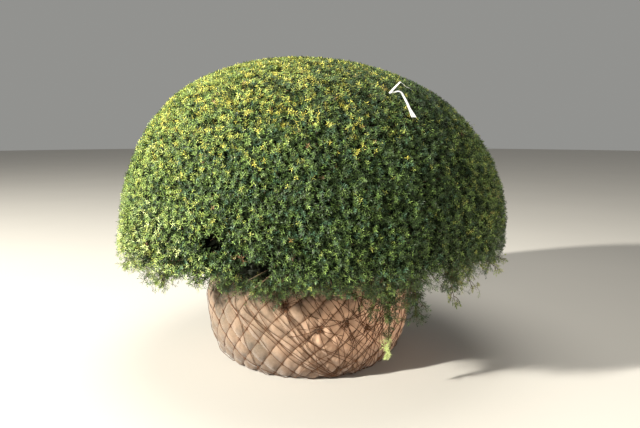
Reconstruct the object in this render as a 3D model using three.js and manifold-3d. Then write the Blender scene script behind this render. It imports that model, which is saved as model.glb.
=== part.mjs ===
// Clipped yew dome standing on its hessian-wrapped root ball with a wire net round it.
// Millimetres, +Z up. The origin is the centre of the ball's flat underside,
// +X is to the right seen from the front and +Y points away from the front.

import * as THREE from 'three';
import { mergeVertices } from 'three/addons/utils/BufferGeometryUtils.js';
import Module from 'manifold-3d';

const wasm = await Module();
wasm.setup();

// Driving dimensions
const seatGap = 0.3; // clearance between pieces that touch
const seed = 20417;
const goldenAngle = Math.PI * (3 - Math.sqrt(5));

const ball = {
  baseRadius: 470, // flat underside
  widestRadius: 640,
  widestZ: 400,
  collarRadius: 150, // where the cloth turns up round the stem
  topZ: 612,
  shoulderPower: 2.2,
  wobble: 9, // slow bulges in and out
  skirtZ: 3, // nothing but the flat underside is lower
};

const wrap = {
  wall: 4,
  pillow: 15, // how far the cloth swells between the wires
  collarWaist: 117,
  collarMouth: 132,
  collarZ: [636, 676],
};

const net = {
  columns: 26,
  rows: 6,
  firstArc: 66, // along the ball's side from the underside's edge
  lastArc: 570,
  wireHalfWidth: 3.6,
  wireHalfDepth: 2.6,
};

const crown = {
  radius: 1190,
  widestZ: 760,
  rise: 1100, // widest level to top
  power: 2.18,
  rimZ: 735,
  centreX: 22,
  lean: -70, // sideways shift of the top
  bow: 168, // the axis bows the other way between the widest level and the top
  coreDepth: 72, // outline to the dense core
  coreThickness: 200,
  rimDrop: 34, // unevenness of the core's lower edge
  segments: 36,
  outerRings: 11,
  innerRings: 5,
  tuftHeight: 18,
};

const sprays = {
  count: 188,
  halfWidth: 58,
  halfThickness: 6,
  sunk: 62, // below the core's surface
  slant: 95, // sideways run of a spray between root and tip
  rise: 0.55, // share of the slant that always points up the dome
  riseSpread: 0.45,
  sideSpread: 0.8,
  topRadius: 220, // nearer the top than this the sideways run turns no further
  tipDepth: 4, // most that a tip stays under the outline
  skirtCount: 44,
  skirtDrop: 62, // how far the skirt hangs below the rim
  skirtWidthShare: 0.8,
  skirtRootArc: 30,
  clearOfHanging: 12,
};

const trunk = {
  footZ: 608.4,
  tipZ: 980,
  footRadius: 104,
  waistRadius: 78,
  tipRadius: 50,
  lean: 16,
  flareLobes: 5,
  flareDepth: 7,
};

const bough = {
  count: 8,
  rootRadius: 33,
  tipRadius: 15,
  sides: 6,
  steps: 5,
  firstZ: 786, // heights at which the rising boughs leave the trunk
  lastZ: 940,
  lowZ: [764, 724, 684], // the low boughs leave at these heights by turns
  sunkInCrown: 45,
  firstAzimuth: 0.5,
  areaShares: [0.22, 0.93], // where on the dome the first and the last bough end
  inset: 12, // the root's distance from the trunk's axis, inside the trunk
  sag: 60,
  lowRootRadius: 19,
  lowTipRadius: 9,
  lowInset: 20,
  lowArch: 34,
};

// Low boughs and the loose sprays that hang from them: azimuth in degrees, all else in mm.
// root is where bough and spray meet; mid and tip are (distance from the axis, height).
// A spray's own space is everything nearer to its middle line than reach.
const hanging = {
  front_right: { azimuth: -59, root: [735, 700], mid: [850, 600], tip: [850, 240], reach: 82 },
  right_front: { azimuth: -50, root: [760, 702], mid: [875, 620], tip: [925, 415], reach: 78 },
  right_near: { azimuth: -31, root: [790, 705], mid: [920, 635], tip: [980, 460], reach: 90 },
  right_middle: { azimuth: -17, root: [800, 705], mid: [950, 640], tip: [1040, 475], reach: 88 },
  right_far: { azimuth: -2, root: [810, 705], mid: [985, 655], tip: [1145, 525], reach: 85 },
  left: { azimuth: -146, root: [800, 702], mid: [895, 672], tip: [970, 600], reach: 78 },
};

const hangingTwig = {
  stemRadius: 8,
  tipRadius: 3,
  sideTwigs: 4,
  firstShare: 0.3, // along the stem
  lastShare: 0.98,
  sideRootRadius: 4.5,
  sideTipRadius: 2.5,
  sunk: 3,
  droop: 0.4,
  bladeLength: 118,
  bladeHalfWidth: 26,
  bladeHalfThickness: 3.5,
};

const tag = {
  thickness: 2,
  strapWidth: 9,
  tailWidth: 30, // at its flared end
  standOff: 14, // the eyelet above the crown's outline
  anchor: { azimuth: -59.4, z: 1590 }, // the twig that the strap is looped round
  eyelet: 8,
  twigRadius: 4,
  twigEnd: 12, // above the ribbons
  middle: [80, -30],
  clearing: 105, // no spray tip comes nearer to the middle
  // Routes from the anchor: (to the right, up the dome, above the outline).
  strap: [[0, 0, 14], [33, 13, 40], [79, 37, 62], [114, 21, 42], [191, 40, 14]],
  tail: [[0, 0, 14], [21, 1, 20], [44, -2, 32], [60, -11, 34], [60, -43, 24], [50, -105, 15], [43, -168, 14]],
};

// Helpers
function seededRandom(start) {
  let state = start;
  return () => {
    state = (state * 1664525 + 1013904223) % 4294967296;
    return state / 4294967296;
  };
}

const radians = THREE.MathUtils.degToRad;

function solidOf(geometry) {
  const bare = geometry.clone();
  bare.deleteAttribute('normal');
  bare.deleteAttribute('uv');
  const merged = mergeVertices(bare, 1e-3);
  const vertProperties = new Float32Array(merged.attributes.position.array);
  const triVerts = new Uint32Array(merged.index.array);
  return new wasm.Manifold(new wasm.Mesh({ numProp: 3, vertProperties, triVerts }));
}

function geometryOf(solid) {
  const mesh = solid.getMesh();
  const geometry = new THREE.BufferGeometry();
  geometry.setAttribute('position', new THREE.BufferAttribute(new Float32Array(mesh.vertProperties), 3));
  geometry.setIndex(new THREE.BufferAttribute(new Uint32Array(mesh.triVerts), 1));
  geometry.computeVertexNormals();
  return geometry;
}

// Keeps the largest closed shell, so loose scraps are dropped and sealed hollows are filled.
function mainShell(solid) {
  const shells = solid.decompose();
  return shells.reduce((best, shell) => (shell.volume() > best.volume() ? shell : best));
}

function joined(solids) {
  return wasm.Manifold.union(solids);
}

// Collects triangles as points; a face is a fan over its corners.
class FaceList {
  constructor() {
    this.points = [];
  }

  face(...corners) {
    for (let i = 2; i < corners.length; i += 1) {
      this.points.push(corners[0], corners[i - 1], corners[i]);
    }
  }

  geometry() {
    const geometry = new THREE.BufferGeometry().setFromPoints(this.points);
    const merged = mergeVertices(geometry, 1e-3);
    merged.computeVertexNormals();
    return merged;
  }
}

// Lofts closed rings in order. A ring is an array of points, a pole is an array of one point,
// and a ring may have half or twice the points of the next. splitsForward(row, column)
// picks the diagonal of each four-sided face.
function loft(rings, splitsForward = () => true) {
  const faces = new FaceList();
  for (let row = 0; row + 1 < rings.length; row += 1) {
    const low = rings[row];
    const high = rings[row + 1];
    const count = Math.max(low.length, high.length);
    const at = (ring, k) => ring[Math.floor(((k % count) * ring.length) / count)];
    for (let k = 0; k < count; k += 1) {
      const corners = [at(low, k), at(low, k + 1), at(high, k + 1), at(high, k)];
      const turned = splitsForward(row, k) ? corners : [...corners.slice(1), corners[0]];
      for (const triple of [[0, 1, 2], [0, 2, 3]]) {
        const [a, b, c] = triple.map((i) => turned[i]);
        if (a !== b && b !== c && c !== a) {
          faces.face(a, b, c);
        }
      }
    }
  }
  return faces.geometry();
}

// Position, arc length and outward normal along a profile of (radius, height) points.
class Profile {
  constructor(points) {
    this.points = points;
    this.arcs = [0];
    for (let i = 1; i < points.length; i += 1) {
      this.arcs.push(this.arcs[i - 1] + points[i].distanceTo(points[i - 1]));
    }
    this.length = this.arcs[this.arcs.length - 1];
  }

  at(arc) {
    let i = 1;
    while (i < this.arcs.length - 1 && this.arcs[i] < arc) {
      i += 1;
    }
    const share = (arc - this.arcs[i - 1]) / (this.arcs[i] - this.arcs[i - 1]);
    const along = this.points[i].clone().sub(this.points[i - 1]).normalize();
    const point = this.points[i - 1].clone().lerp(this.points[i], share);
    return { point, normal: new THREE.Vector2(along.y, -along.x) };
  }
}

// A tapering limb along a smooth curve through points; grow widens and lengthens it for cutting.
function limb(points, rootRadius, tipRadius, sides, steps, grow = 0) {
  const path = points.map((p) => p.clone());
  const last = path.length - 1;
  path[0].addScaledVector(path[0].clone().sub(path[1]).normalize(), grow);
  path[last].addScaledVector(path[last].clone().sub(path[last - 1]).normalize(), grow);
  const curve = new THREE.CatmullRomCurve3(path, false, 'centripetal');
  const frames = curve.computeFrenetFrames(steps, false);
  const rings = [[curve.getPointAt(0)]];
  for (let i = 0; i <= steps; i += 1) {
    const centre = curve.getPointAt(i / steps);
    const radius = THREE.MathUtils.lerp(rootRadius, tipRadius, i / steps) + grow * 1.2;
    const ring = [];
    for (let k = 0; k < sides; k += 1) {
      const turn = (2 * Math.PI * k) / sides;
      const side = frames.normals[i].clone().multiplyScalar(radius * Math.cos(turn));
      side.addScaledVector(frames.binormals[i], radius * Math.sin(turn));
      ring.push(centre.clone().add(side));
    }
    rings.push(ring);
  }
  rings.push([curve.getPointAt(1)]);
  return loft(rings);
}

// A spray of needles as a toothed blade: a flat outline with forward teeth, thick along its middle.
const toothOutline = [[0, 0], [0.66, 1], [0.7, 0.22], [1, 0.1], [0.74, -0.26], [0.82, -0.95]];

function blade(root, tip, facing, halfWidth, halfThickness) {
  const along = tip.clone().sub(root);
  const across = along.clone().cross(facing).normalize().multiplyScalar(halfWidth);
  const through = along.clone().cross(across).normalize().multiplyScalar(halfThickness);
  const rim = toothOutline.map(([u, v]) => root.clone().addScaledVector(along, u).addScaledVector(across, v));
  const middle = root.clone().addScaledVector(along, 0.55);
  return loft([[middle.clone().add(through)], rim, [middle.clone().sub(through)]]);
}

// Root ball
const quarterSteps = 24;
const ballProfile = new Profile([
  ...Array.from({ length: quarterSteps + 1 }, (_, i) => {
    const turn = (Math.PI / 2) * (i / quarterSteps);
    const bulge = ball.widestRadius - ball.baseRadius;
    return new THREE.Vector2(ball.baseRadius + bulge * Math.sin(turn), ball.widestZ * (1 - Math.cos(turn)));
  }),
  ...Array.from({ length: quarterSteps }, (_, i) => {
    const turn = (Math.PI / 2) * ((i + 1) / quarterSteps);
    const bulge = ball.widestRadius - ball.collarRadius;
    return new THREE.Vector2(
      ball.collarRadius + bulge * Math.cos(turn) ** (2 / ball.shoulderPower),
      ball.widestZ + (ball.topZ - ball.widestZ) * Math.sin(turn) ** (2 / ball.shoulderPower),
    );
  }),
]);

// A point of the ball's skin at an arc length and azimuth, moved out along its normal.
function ballPoint(arc, azimuth, out, lowestZ) {
  const { point, normal } = ballProfile.at(arc);
  const slow = Math.sin(3 * azimuth + 0.6) + 0.7 * Math.sin(5 * azimuth + 2.1);
  const swell = ball.wobble * slow * Math.sin((Math.PI * arc) / ballProfile.length);
  const radius = point.x + normal.x * out + swell;
  const height = Math.max(point.y + normal.y * out, lowestZ);
  return new THREE.Vector3(radius * Math.cos(azimuth), radius * Math.sin(azimuth), height);
}

function ballRing(count, arc, outAt, lowestZ) {
  return Array.from({ length: count }, (_, k) =>
    ballPoint(arc, (2 * Math.PI * k) / count, outAt(k), lowestZ));
}

function flatRing(count, radius, z) {
  return Array.from({ length: count }, (_, k) => {
    const azimuth = (2 * Math.PI * k) / count;
    return new THREE.Vector3(radius * Math.cos(azimuth), radius * Math.sin(azimuth), z);
  });
}

const netArcs = Array.from({ length: net.rows + 1 }, (_, i) =>
  THREE.MathUtils.lerp(net.firstArc, net.lastArc, i / net.rows));
const shoulderArcs = [0.5, 1].map((share) => THREE.MathUtils.lerp(net.lastArc, ballProfile.length, share));
const isCrossing = (row, column) => (row + column) % 2 === 0;

function makeSoil() {
  const inset = -wrap.wall - seatGap;
  const floorZ = wrap.wall + seatGap;
  const rings = [[new THREE.Vector3(0, 0, floorZ)], flatRing(net.columns, ball.baseRadius + inset, floorZ)];
  for (const arc of [...netArcs, ...shoulderArcs]) {
    rings.push(ballRing(net.columns, arc, () => inset, floorZ));
  }
  rings.push([new THREE.Vector3(0, 0, trunk.footZ - seatGap)]);
  // The cloth's inside is lofted downwards, so the same diagonals run backwards here.
  return loft(rings, () => false);
}

function makeHessian() {
  const fine = 2 * net.columns;
  const coarse = net.columns;
  const rings = [[new THREE.Vector3()], flatRing(fine, ball.baseRadius, 0)];
  netArcs.forEach((arc, row) => {
    // Under the net's two straight edge wires the cloth is drawn in to their chord.
    const chord = ball.widestRadius * (Math.cos(Math.PI / coarse) - 1) - seatGap;
    const swell = row === 0 || row === net.rows ? chord : wrap.pillow;
    rings.push(ballRing(fine, arc, (k) => (isCrossing(row, k) ? 0 : swell), ball.skirtZ));
  });
  for (const arc of shoulderArcs) {
    rings.push(ballRing(fine, arc, () => 0, 0));
  }
  rings.push(flatRing(fine, wrap.collarWaist + wrap.wall, wrap.collarZ[0]));
  rings.push(flatRing(fine, wrap.collarMouth, wrap.collarZ[1]));
  rings.push(flatRing(coarse, wrap.collarMouth - wrap.wall, wrap.collarZ[1]));
  rings.push(flatRing(coarse, wrap.collarWaist, wrap.collarZ[0]));
  for (const arc of [...netArcs, ...shoulderArcs].reverse()) {
    rings.push(ballRing(coarse, arc, () => -wrap.wall, wrap.wall));
  }
  rings.push(flatRing(coarse, ball.baseRadius - wrap.wall, wrap.wall));
  rings.push([new THREE.Vector3(0, 0, wrap.wall)]);
  // Rings 0 and 1 close the underside, so ring 2 is the net's row 0.
  const firstInnerRing = rings.findIndex((ring) => ring.length === coarse);
  return loft(rings, (row, k) => row >= firstInnerRing || isCrossing(row - 2, k));
}

// The net is one closed lattice: every wire is ridged outside and inside, with a hole in each diamond.
function makeNet() {
  const fine = 2 * net.columns;
  const faces = new FaceList();
  const arcAt = (row) => netArcs[row];
  const turn = (k) => (2 * Math.PI * k) / fine;
  const at = (row, k, out, arcShift = 0) => ballPoint(arcAt(row) + arcShift, turn(k), out, ball.skirtZ);
  const inner = ([row, k]) => at(row, k, seatGap);
  const outer = ([row, k]) => at(row, k, seatGap + 2 * net.wireHalfDepth);
  const level = ([row, k]) => at(row, k, seatGap + net.wireHalfDepth);
  const cellHeight = (net.lastArc - net.firstArc) / net.rows;
  const cellWidth = (2 * Math.PI * ball.widestRadius) / fine;
  const diamondShare = (net.wireHalfWidth * Math.hypot(cellHeight, cellWidth)) / (cellHeight * cellWidth);
  for (let row = 0; row <= net.rows; row += 1) {
    for (let k = 0; k < fine; k += 1) {
      if (isCrossing(row, k)) {
        continue;
      }
      const left = [row, k - 1];
      const right = [row, k + 1];
      const corners = [left];
      if (row > 0) {
        corners.push([row - 1, k]);
      }
      corners.push(right);
      if (row < net.rows) {
        corners.push([row + 1, k]);
      }
      const share = corners.length === 4 ? diamondShare : 2 * diamondShare;
      const middle = corners.reduce((sum, c) => sum.add(level(c)), new THREE.Vector3());
      middle.divideScalar(corners.length);
      corners.forEach((corner, i) => {
        const next = corners[(i + 1) % corners.length];
        const hole = level(corner).lerp(middle, share);
        const nextHole = level(next).lerp(middle, share);
        faces.face(outer(corner), outer(next), nextHole, hole);
        faces.face(inner(next), inner(corner), hole, nextHole);
      });
      const edge = ([r, c], shift) => at(r, c, seatGap + net.wireHalfDepth, shift);
      if (row === 0) {
        const shift = -net.wireHalfWidth;
        faces.face(edge(left, shift), edge(right, shift), outer(right), outer(left));
        faces.face(edge(right, shift), edge(left, shift), inner(left), inner(right));
      }
      if (row === net.rows) {
        const shift = net.wireHalfWidth;
        faces.face(outer(left), outer(right), edge(right, shift), edge(left, shift));
        faces.face(inner(right), inner(left), edge(left, shift), edge(right, shift));
      }
    }
  }
  return faces.geometry();
}

// Trunk and boughs
function trunkRing(z, radius, lobes, sides, grow) {
  const share = (z - trunk.footZ) / (trunk.tipZ - trunk.footZ);
  return Array.from({ length: sides }, (_, k) => {
    const azimuth = (2 * Math.PI * k) / sides;
    const wide = radius + grow + lobes * Math.cos(trunk.flareLobes * azimuth);
    return new THREE.Vector3(
      wide * Math.cos(azimuth) - trunk.lean * share,
      wide * Math.sin(azimuth),
      z,
    );
  });
}

function makeTrunk(grow = 0) {
  const sides = 20;
  const levels = [
    [0, trunk.footRadius, trunk.flareDepth],
    [0.12, 0.5 * (trunk.footRadius + trunk.waistRadius), trunk.flareDepth * 0.7],
    [0.35, trunk.waistRadius, trunk.flareDepth * 0.4],
    [0.7, 0.5 * (trunk.waistRadius + trunk.tipRadius), 1],
    [1, trunk.tipRadius, 0],
  ];
  const height = trunk.tipZ - trunk.footZ;
  const rings = levels.map(([share, radius, lobes]) => {
    const stretch = (share * 2 - 1) * grow;
    return trunkRing(trunk.footZ + share * height + stretch, radius, lobes, sides, grow);
  });
  const centreOf = (ring) => [ring.reduce((sum, p) => sum.add(p), new THREE.Vector3()).divideScalar(sides)];
  return loft([centreOf(rings[0]), ...rings, centreOf(rings[rings.length - 1])]);
}

function polar(azimuth, radius, z, centreX = 0) {
  return new THREE.Vector3(centreX + radius * Math.cos(azimuth), radius * Math.sin(azimuth), z);
}

// Crown
function crownAxisX(z) {
  const share = Math.max(0, z - crown.widestZ) / crown.rise;
  return crown.centreX + crown.lean * share + crown.bow * share * (1 - share);
}

function crownRadius(z) {
  const share = Math.abs(z - crown.widestZ) / crown.rise;
  return crown.radius * (1 - Math.min(1, share) ** crown.power) ** (1 / crown.power);
}

const crownSteps = 60;
const crownProfile = new Profile(Array.from({ length: crownSteps + 1 }, (_, i) => {
  const turn = (Math.PI / 2) * (i / crownSteps);
  const z = THREE.MathUtils.lerp(crown.rimZ, crown.widestZ + crown.rise, Math.sin(turn) ** 1.1);
  return new THREE.Vector2(crownRadius(z), z);
}));

// A point of the crown's outline at an arc length and azimuth, moved out along its normal.
function crownPoint(arc, azimuth, out) {
  const { point, normal } = crownProfile.at(Math.min(arc, crownProfile.length));
  const radius = point.x + normal.x * out;
  const z = point.y + normal.y * out;
  return new THREE.Vector3(crownAxisX(z) + radius * Math.cos(azimuth), radius * Math.sin(azimuth), z);
}

function crownArcAt(z) {
  let arc = 0;
  while (arc < crownProfile.length && crownProfile.at(arc).point.y < z) {
    arc += 5;
  }
  return arc;
}

// The dense core is a thick shell, open below: its inside is lofted from the top down,
// then its uneven rim, then its tufted outside back up to the top.
function crownCore() {
  const random = seededRandom(seed);
  const centred = () => random() * 2 - 1;
  const { segments, innerRings, outerRings, coreDepth, coreThickness } = crown;
  const arcOf = (row, rows) => (crownProfile.length * row) / rows;
  const ring = (count, arc, outAt) => Array.from({ length: count }, (_, k) =>
    crownPoint(arc, (2 * Math.PI * k) / count, outAt()));
  const inside = -coreDepth - coreThickness;
  const rings = [[crownPoint(crownProfile.length, 0, inside)]];
  for (let row = innerRings - 1; row >= 0; row -= 1) {
    rings.push(ring(segments / 2, arcOf(row, innerRings), () => inside));
  }
  for (let row = 0; row < outerRings; row += 1) {
    const isNearTop = row > outerRings * 0.7;
    const count = isNearTop ? segments / 2 : segments;
    rings.push(ring(count, arcOf(row, outerRings), () => -coreDepth + crown.tuftHeight * centred()));
  }
  const rim = rings[innerRings + 1];
  rim.forEach((point) => {
    point.z -= crown.rimDrop * random();
  });
  rings.push([crownPoint(crownProfile.length, 0, -coreDepth)]);
  return loft(rings);
}

// Share of the dome's area below each arc length, so that sprays are spread evenly.
function arcAtAreaShare(share) {
  const cells = 80;
  const widths = Array.from({ length: cells }, (_, i) =>
    crownProfile.at((crownProfile.length * (i + 0.5)) / cells).point.x);
  const total = widths.reduce((sum, width) => sum + width, 0);
  let passed = 0;
  for (let i = 0; i < cells; i += 1) {
    if (passed + widths[i] >= share * total) {
      return (crownProfile.length * (i + (share * total - passed) / widths[i])) / cells;
    }
    passed += widths[i];
  }
  return crownProfile.length;
}

function hangingRoute(spray) {
  const azimuth = radians(spray.azimuth);
  return [spray.root, spray.mid, spray.tip].map(([radius, z]) => polar(azimuth, radius, z));
}

// Distance from a point to a hanging spray's middle line.
function distanceToRoute(point, route) {
  const curve = new THREE.CatmullRomCurve3(route, false, 'centripetal');
  return Math.min(...curve.getPoints(16).map((p) => p.distanceTo(point)));
}

const hangingSpaces = Object.values(hanging).map((spray) => ({
  route: hangingRoute(spray),
  reach: spray.reach + sprays.clearOfHanging,
}));
const tagAnchorArc = crownArcAt(tag.anchor.z);
const tagAnchorAzimuth = radians(tag.anchor.azimuth);

// Steps over the crown's surface from the tag's anchor: mm to the right and mm up the dome.
function tagPoint(right, up, out) {
  const arc = tagAnchorArc + up;
  const radius = crownProfile.at(arc).point.x;
  return crownPoint(arc, tagAnchorAzimuth + right / radius, out);
}

const tagMiddle = tagPoint(...tag.middle, 0);

// A crown spray stays out of every hanging spray's space and away from the tag.
function isFree(root, tip) {
  const points = [tip, root.clone().lerp(tip, 0.6)];
  const isNearHanging = hangingSpaces.some(({ route, reach }) =>
    points.some((point) => distanceToRoute(point, route) < reach));
  return !isNearHanging && points.every((point) => point.distanceTo(tagMiddle) > tag.clearing);
}

// Sprays lie on a golden-angle spiral over the dome: each is rooted in the core, runs up the dome
// and a seeded way to the side, and ends on the outline.
function domeSprays() {
  const random = seededRandom(seed + 1);
  const centred = () => random() * 2 - 1;
  const solids = [];
  for (let k = 0; k < sprays.count; k += 1) {
    const arc = arcAtAreaShare((k + 0.5) / sprays.count);
    const azimuth = k * goldenAngle;
    const root = crownPoint(arc, azimuth, -crown.coreDepth - sprays.sunk);
    const upRun = sprays.slant * (sprays.rise + sprays.riseSpread * centred());
    const sideRun = sprays.slant * sprays.sideSpread * centred();
    const radius = Math.max(sprays.topRadius, crownProfile.at(arc).point.x);
    const tipDepth = sprays.tipDepth * random();
    const tip = crownPoint(arc + upRun, azimuth + sideRun / radius, -tipDepth);
    const facing = new THREE.Vector3(centred(), centred(), centred());
    if (isFree(root, tip)) {
      solids.push(solidOf(blade(root, tip, facing, sprays.halfWidth, sprays.halfThickness)));
    }
  }
  return solids;
}

// The skirt's sprays hang from inside the rim, a seeded way down and out.
function skirtSprays() {
  const random = seededRandom(seed + 2);
  const centred = () => random() * 2 - 1;
  const solids = [];
  for (let k = 0; k < sprays.skirtCount; k += 1) {
    const azimuth = (2 * Math.PI * (k + 0.4 * centred())) / sprays.skirtCount;
    const depth = crown.coreDepth + sprays.sunk * (0.4 + 1.6 * random());
    const root = crownPoint(sprays.skirtRootArc, azimuth, -depth);
    const tip = crownPoint(0, azimuth + 0.05 * centred(), -depth * (0.25 + 0.3 * random()));
    tip.z = crown.rimZ - sprays.skirtDrop * (0.55 + 0.45 * random());
    const facing = new THREE.Vector3(centred(), centred(), 0.3 * centred());
    const halfWidth = sprays.halfWidth * sprays.skirtWidthShare;
    if (isFree(root, tip)) {
      solids.push(solidOf(blade(root, tip, facing, halfWidth, sprays.halfThickness)));
    }
  }
  return solids;
}

// Boughs fan out from the trunk and rise into the core's ceiling; the lower they start,
// the wider they reach and the more they sag.
function boughRoute(index) {
  const azimuth = bough.firstAzimuth + index * goldenAngle;
  const share = (index + 0.5) / bough.count;
  const rootZ = THREE.MathUtils.lerp(bough.firstZ, bough.lastZ, share);
  const arc = arcAtAreaShare(THREE.MathUtils.lerp(...bough.areaShares, share));
  const end = crownPoint(arc, azimuth, -crown.coreDepth - crown.coreThickness + bough.sunkInCrown);
  const root = polar(azimuth, bough.inset, rootZ, -trunk.lean * share);
  const sag = bough.sag * (1 - share);
  const bend = root.clone().lerp(end, 0.5).sub(polar(azimuth, sag, sag));
  bend.z += bough.sag * 0.5;
  return [root, bend, end];
}

function lowBoughRoute(spray, index) {
  const azimuth = radians(spray.azimuth);
  const [radius, z] = spray.root;
  const rootZ = bough.lowZ[index % bough.lowZ.length];
  return [
    polar(azimuth, bough.lowInset, rootZ),
    polar(azimuth, radius * 0.5, z + bough.lowArch),
    polar(azimuth, radius, z),
  ];
}

// A hanging mass: one stem, side twigs turned by the golden angle, a blade at each twig's end
// and, on every second twig, one half-way. A blade that would leave the mass's space is skipped.
function hangingMass(spray, index) {
  const random = seededRandom(seed + 100 + index);
  const centred = () => random() * 2 - 1;
  const route = hangingRoute(spray);
  const rootedRoute = [route[0].clone().lerp(route[1], -0.03), ...route.slice(1)];
  const { stemRadius, tipRadius, sideTwigs, sideRootRadius, sideTipRadius } = hangingTwig;
  const { bladeLength, bladeHalfWidth, bladeHalfThickness } = hangingTwig;
  const curve = new THREE.CatmullRomCurve3(route, false, 'centripetal');
  const solids = [solidOf(limb(rootedRoute, stemRadius, tipRadius, 4, 5))];
  const lowered = (direction, share) => direction.clone().sub(new THREE.Vector3(0, 0, share)).normalize();
  const addBlade = (from, direction, length) => {
    const tip = from.clone().addScaledVector(direction, length);
    if (distanceToRoute(tip, route) < spray.reach && tip.z > ball.skirtZ) {
      const facing = new THREE.Vector3(centred(), centred(), centred());
      solids.push(solidOf(blade(from, tip, facing, bladeHalfWidth, bladeHalfThickness)));
    }
  };
  for (let k = 0; k < sideTwigs; k += 1) {
    const share = THREE.MathUtils.lerp(hangingTwig.firstShare, hangingTwig.lastShare, k / sideTwigs);
    const from = curve.getPointAt(share);
    const side = new THREE.Vector3(Math.cos(k * goldenAngle), Math.sin(k * goldenAngle), 0.1);
    const ahead = curve.getTangentAt(share).multiplyScalar(0.75).add(side);
    const direction = lowered(ahead, hangingTwig.droop);
    const twigTip = from.clone().addScaledVector(direction, spray.reach * (0.8 - 0.3 * share));
    const twigRoot = from.clone().addScaledVector(direction, -hangingTwig.sunk);
    const bend = twigRoot.clone().lerp(twigTip, 0.5).addScaledVector(side, 4);
    solids.push(solidOf(limb([twigRoot, bend, twigTip], sideRootRadius, sideTipRadius, 3, 2)));
    addBlade(from.clone().lerp(twigTip, 0.75), lowered(direction, 0.6), bladeLength * 0.6);
    if (k % 2 === 0) {
      addBlade(from.clone().lerp(twigTip, 0.4), lowered(direction, 1), bladeLength * 0.7);
    }
  }
  addBlade(curve.getPointAt(0.94), curve.getTangentAt(1), bladeLength * 0.75);
  return joined(solids);
}

// Plant tag: two ribbons over the crown and an eyelet round its twig
function ribbon(steps, width, endWidth) {
  const centres = steps.map((step) => tagPoint(...step));
  const rings = centres.map((centre, i) => {
    const before = centres[Math.max(0, i - 1)];
    const after = centres[Math.min(centres.length - 1, i + 1)];
    const along = after.clone().sub(before).normalize();
    const [right, up, out] = steps[i];
    const normal = tagPoint(right, up, out + 10).sub(centre).normalize();
    const half = THREE.MathUtils.lerp(width, endWidth, i / (centres.length - 1)) / 2;
    const across = along.cross(normal).normalize().multiplyScalar(half);
    const lift = normal.multiplyScalar(tag.thickness / 2);
    return [[-1, -1], [-1, 1], [1, 1], [1, -1]].map(([a, b]) =>
      centre.clone().addScaledVector(across, a).addScaledVector(lift, b));
  });
  const [first, last] = [rings[0], rings[rings.length - 1]];
  const middle = (ring) => [ring[0].clone().lerp(ring[2], 0.5)];
  return loft([middle(first), ...rings, middle(last)]);
}

function tagTwig(grow) {
  const from = tagPoint(0, 0, -crown.coreDepth - sprays.sunk);
  const to = tagPoint(0, 0, tag.standOff + tag.twigEnd);
  return limb([from, from.clone().lerp(to, 0.5), to], tag.twigRadius, tag.twigRadius, 6, 2, grow);
}

function makeTag() {
  const low = tagPoint(0, 0, tag.standOff - tag.thickness);
  const high = tagPoint(0, 0, tag.standOff + tag.thickness);
  const eyelet = limb([low, low.clone().lerp(high, 0.5), high], tag.eyelet, tag.eyelet, 8, 1);
  const strap = ribbon(tag.strap, tag.strapWidth, tag.strapWidth);
  const tail = ribbon(tag.tail, tag.strapWidth, tag.tailWidth);
  return joined([strap, tail, eyelet].map(solidOf)).subtract(solidOf(tagTwig(seatGap)));
}

// Finishes
const finishes = {
  bark: new THREE.MeshStandardMaterial({ color: 0x6b4a37, roughness: 0.9, metalness: 0 }),
  foliage: new THREE.MeshStandardMaterial({ color: 0x3f5f24, roughness: 0.6, metalness: 0 }),
  looseFoliage: new THREE.MeshStandardMaterial({ color: 0x4c6b2b, roughness: 0.6, metalness: 0 }),
  hessian: new THREE.MeshStandardMaterial({ color: 0xb08a62, roughness: 1, metalness: 0 }),
  soil: new THREE.MeshStandardMaterial({ color: 0x3d2c20, roughness: 1, metalness: 0 }),
  wire: new THREE.MeshStandardMaterial({ color: 0x4a2c1e, roughness: 0.8, metalness: 0.5 }),
  tag: new THREE.MeshStandardMaterial({ color: 0xf2f2ee, roughness: 0.4, metalness: 0 }),
};

const plant = new THREE.Group();

function addNode(name, geometry, material) {
  const mesh = new THREE.Mesh(geometry, material);
  mesh.name = name;
  plant.add(mesh);
}

// Assembly
addNode('root_ball_soil', makeSoil(), finishes.soil);
addNode('hessian_wrap', makeHessian(), finishes.hessian);
addNode('wire_net', makeNet(), finishes.wire);
addNode('trunk', makeTrunk(), finishes.bark);

const trunkCut = solidOf(makeTrunk(seatGap));
const boughCuts = [];
for (let index = 0; index < bough.count; index += 1) {
  const shape = [boughRoute(index), bough.rootRadius, bough.tipRadius, bough.sides, bough.steps];
  const solid = mainShell(solidOf(limb(...shape)).subtract(trunkCut));
  addNode(`bough_${index + 1}`, geometryOf(solid), finishes.bark);
  boughCuts.push(solidOf(limb(...shape, seatGap)));
}
Object.entries(hanging).forEach(([place, spray], index) => {
  const { lowRootRadius, lowTipRadius, sides, steps } = bough;
  const shape = [lowBoughRoute(spray, index), lowRootRadius, lowTipRadius, sides, steps - 1];
  const solid = mainShell(solidOf(limb(...shape)).subtract(trunkCut));
  addNode(`low_bough_${place}`, geometryOf(solid), finishes.bark);
  const mass = hangingMass(spray, index).subtract(solidOf(limb(...shape, seatGap)));
  addNode(`hanging_spray_${place}`, geometryOf(mainShell(mass)), finishes.looseFoliage);
});

const crownParts = [solidOf(crownCore()), ...domeSprays(), ...skirtSprays(), solidOf(tagTwig(0))];
const crownSolid = mainShell(joined(crownParts).subtract(joined(boughCuts)));
addNode('crown_dome', geometryOf(crownSolid), finishes.foliage);
addNode('plant_tag', geometryOf(makeTag()), finishes.tag);

export default plant;
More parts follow.
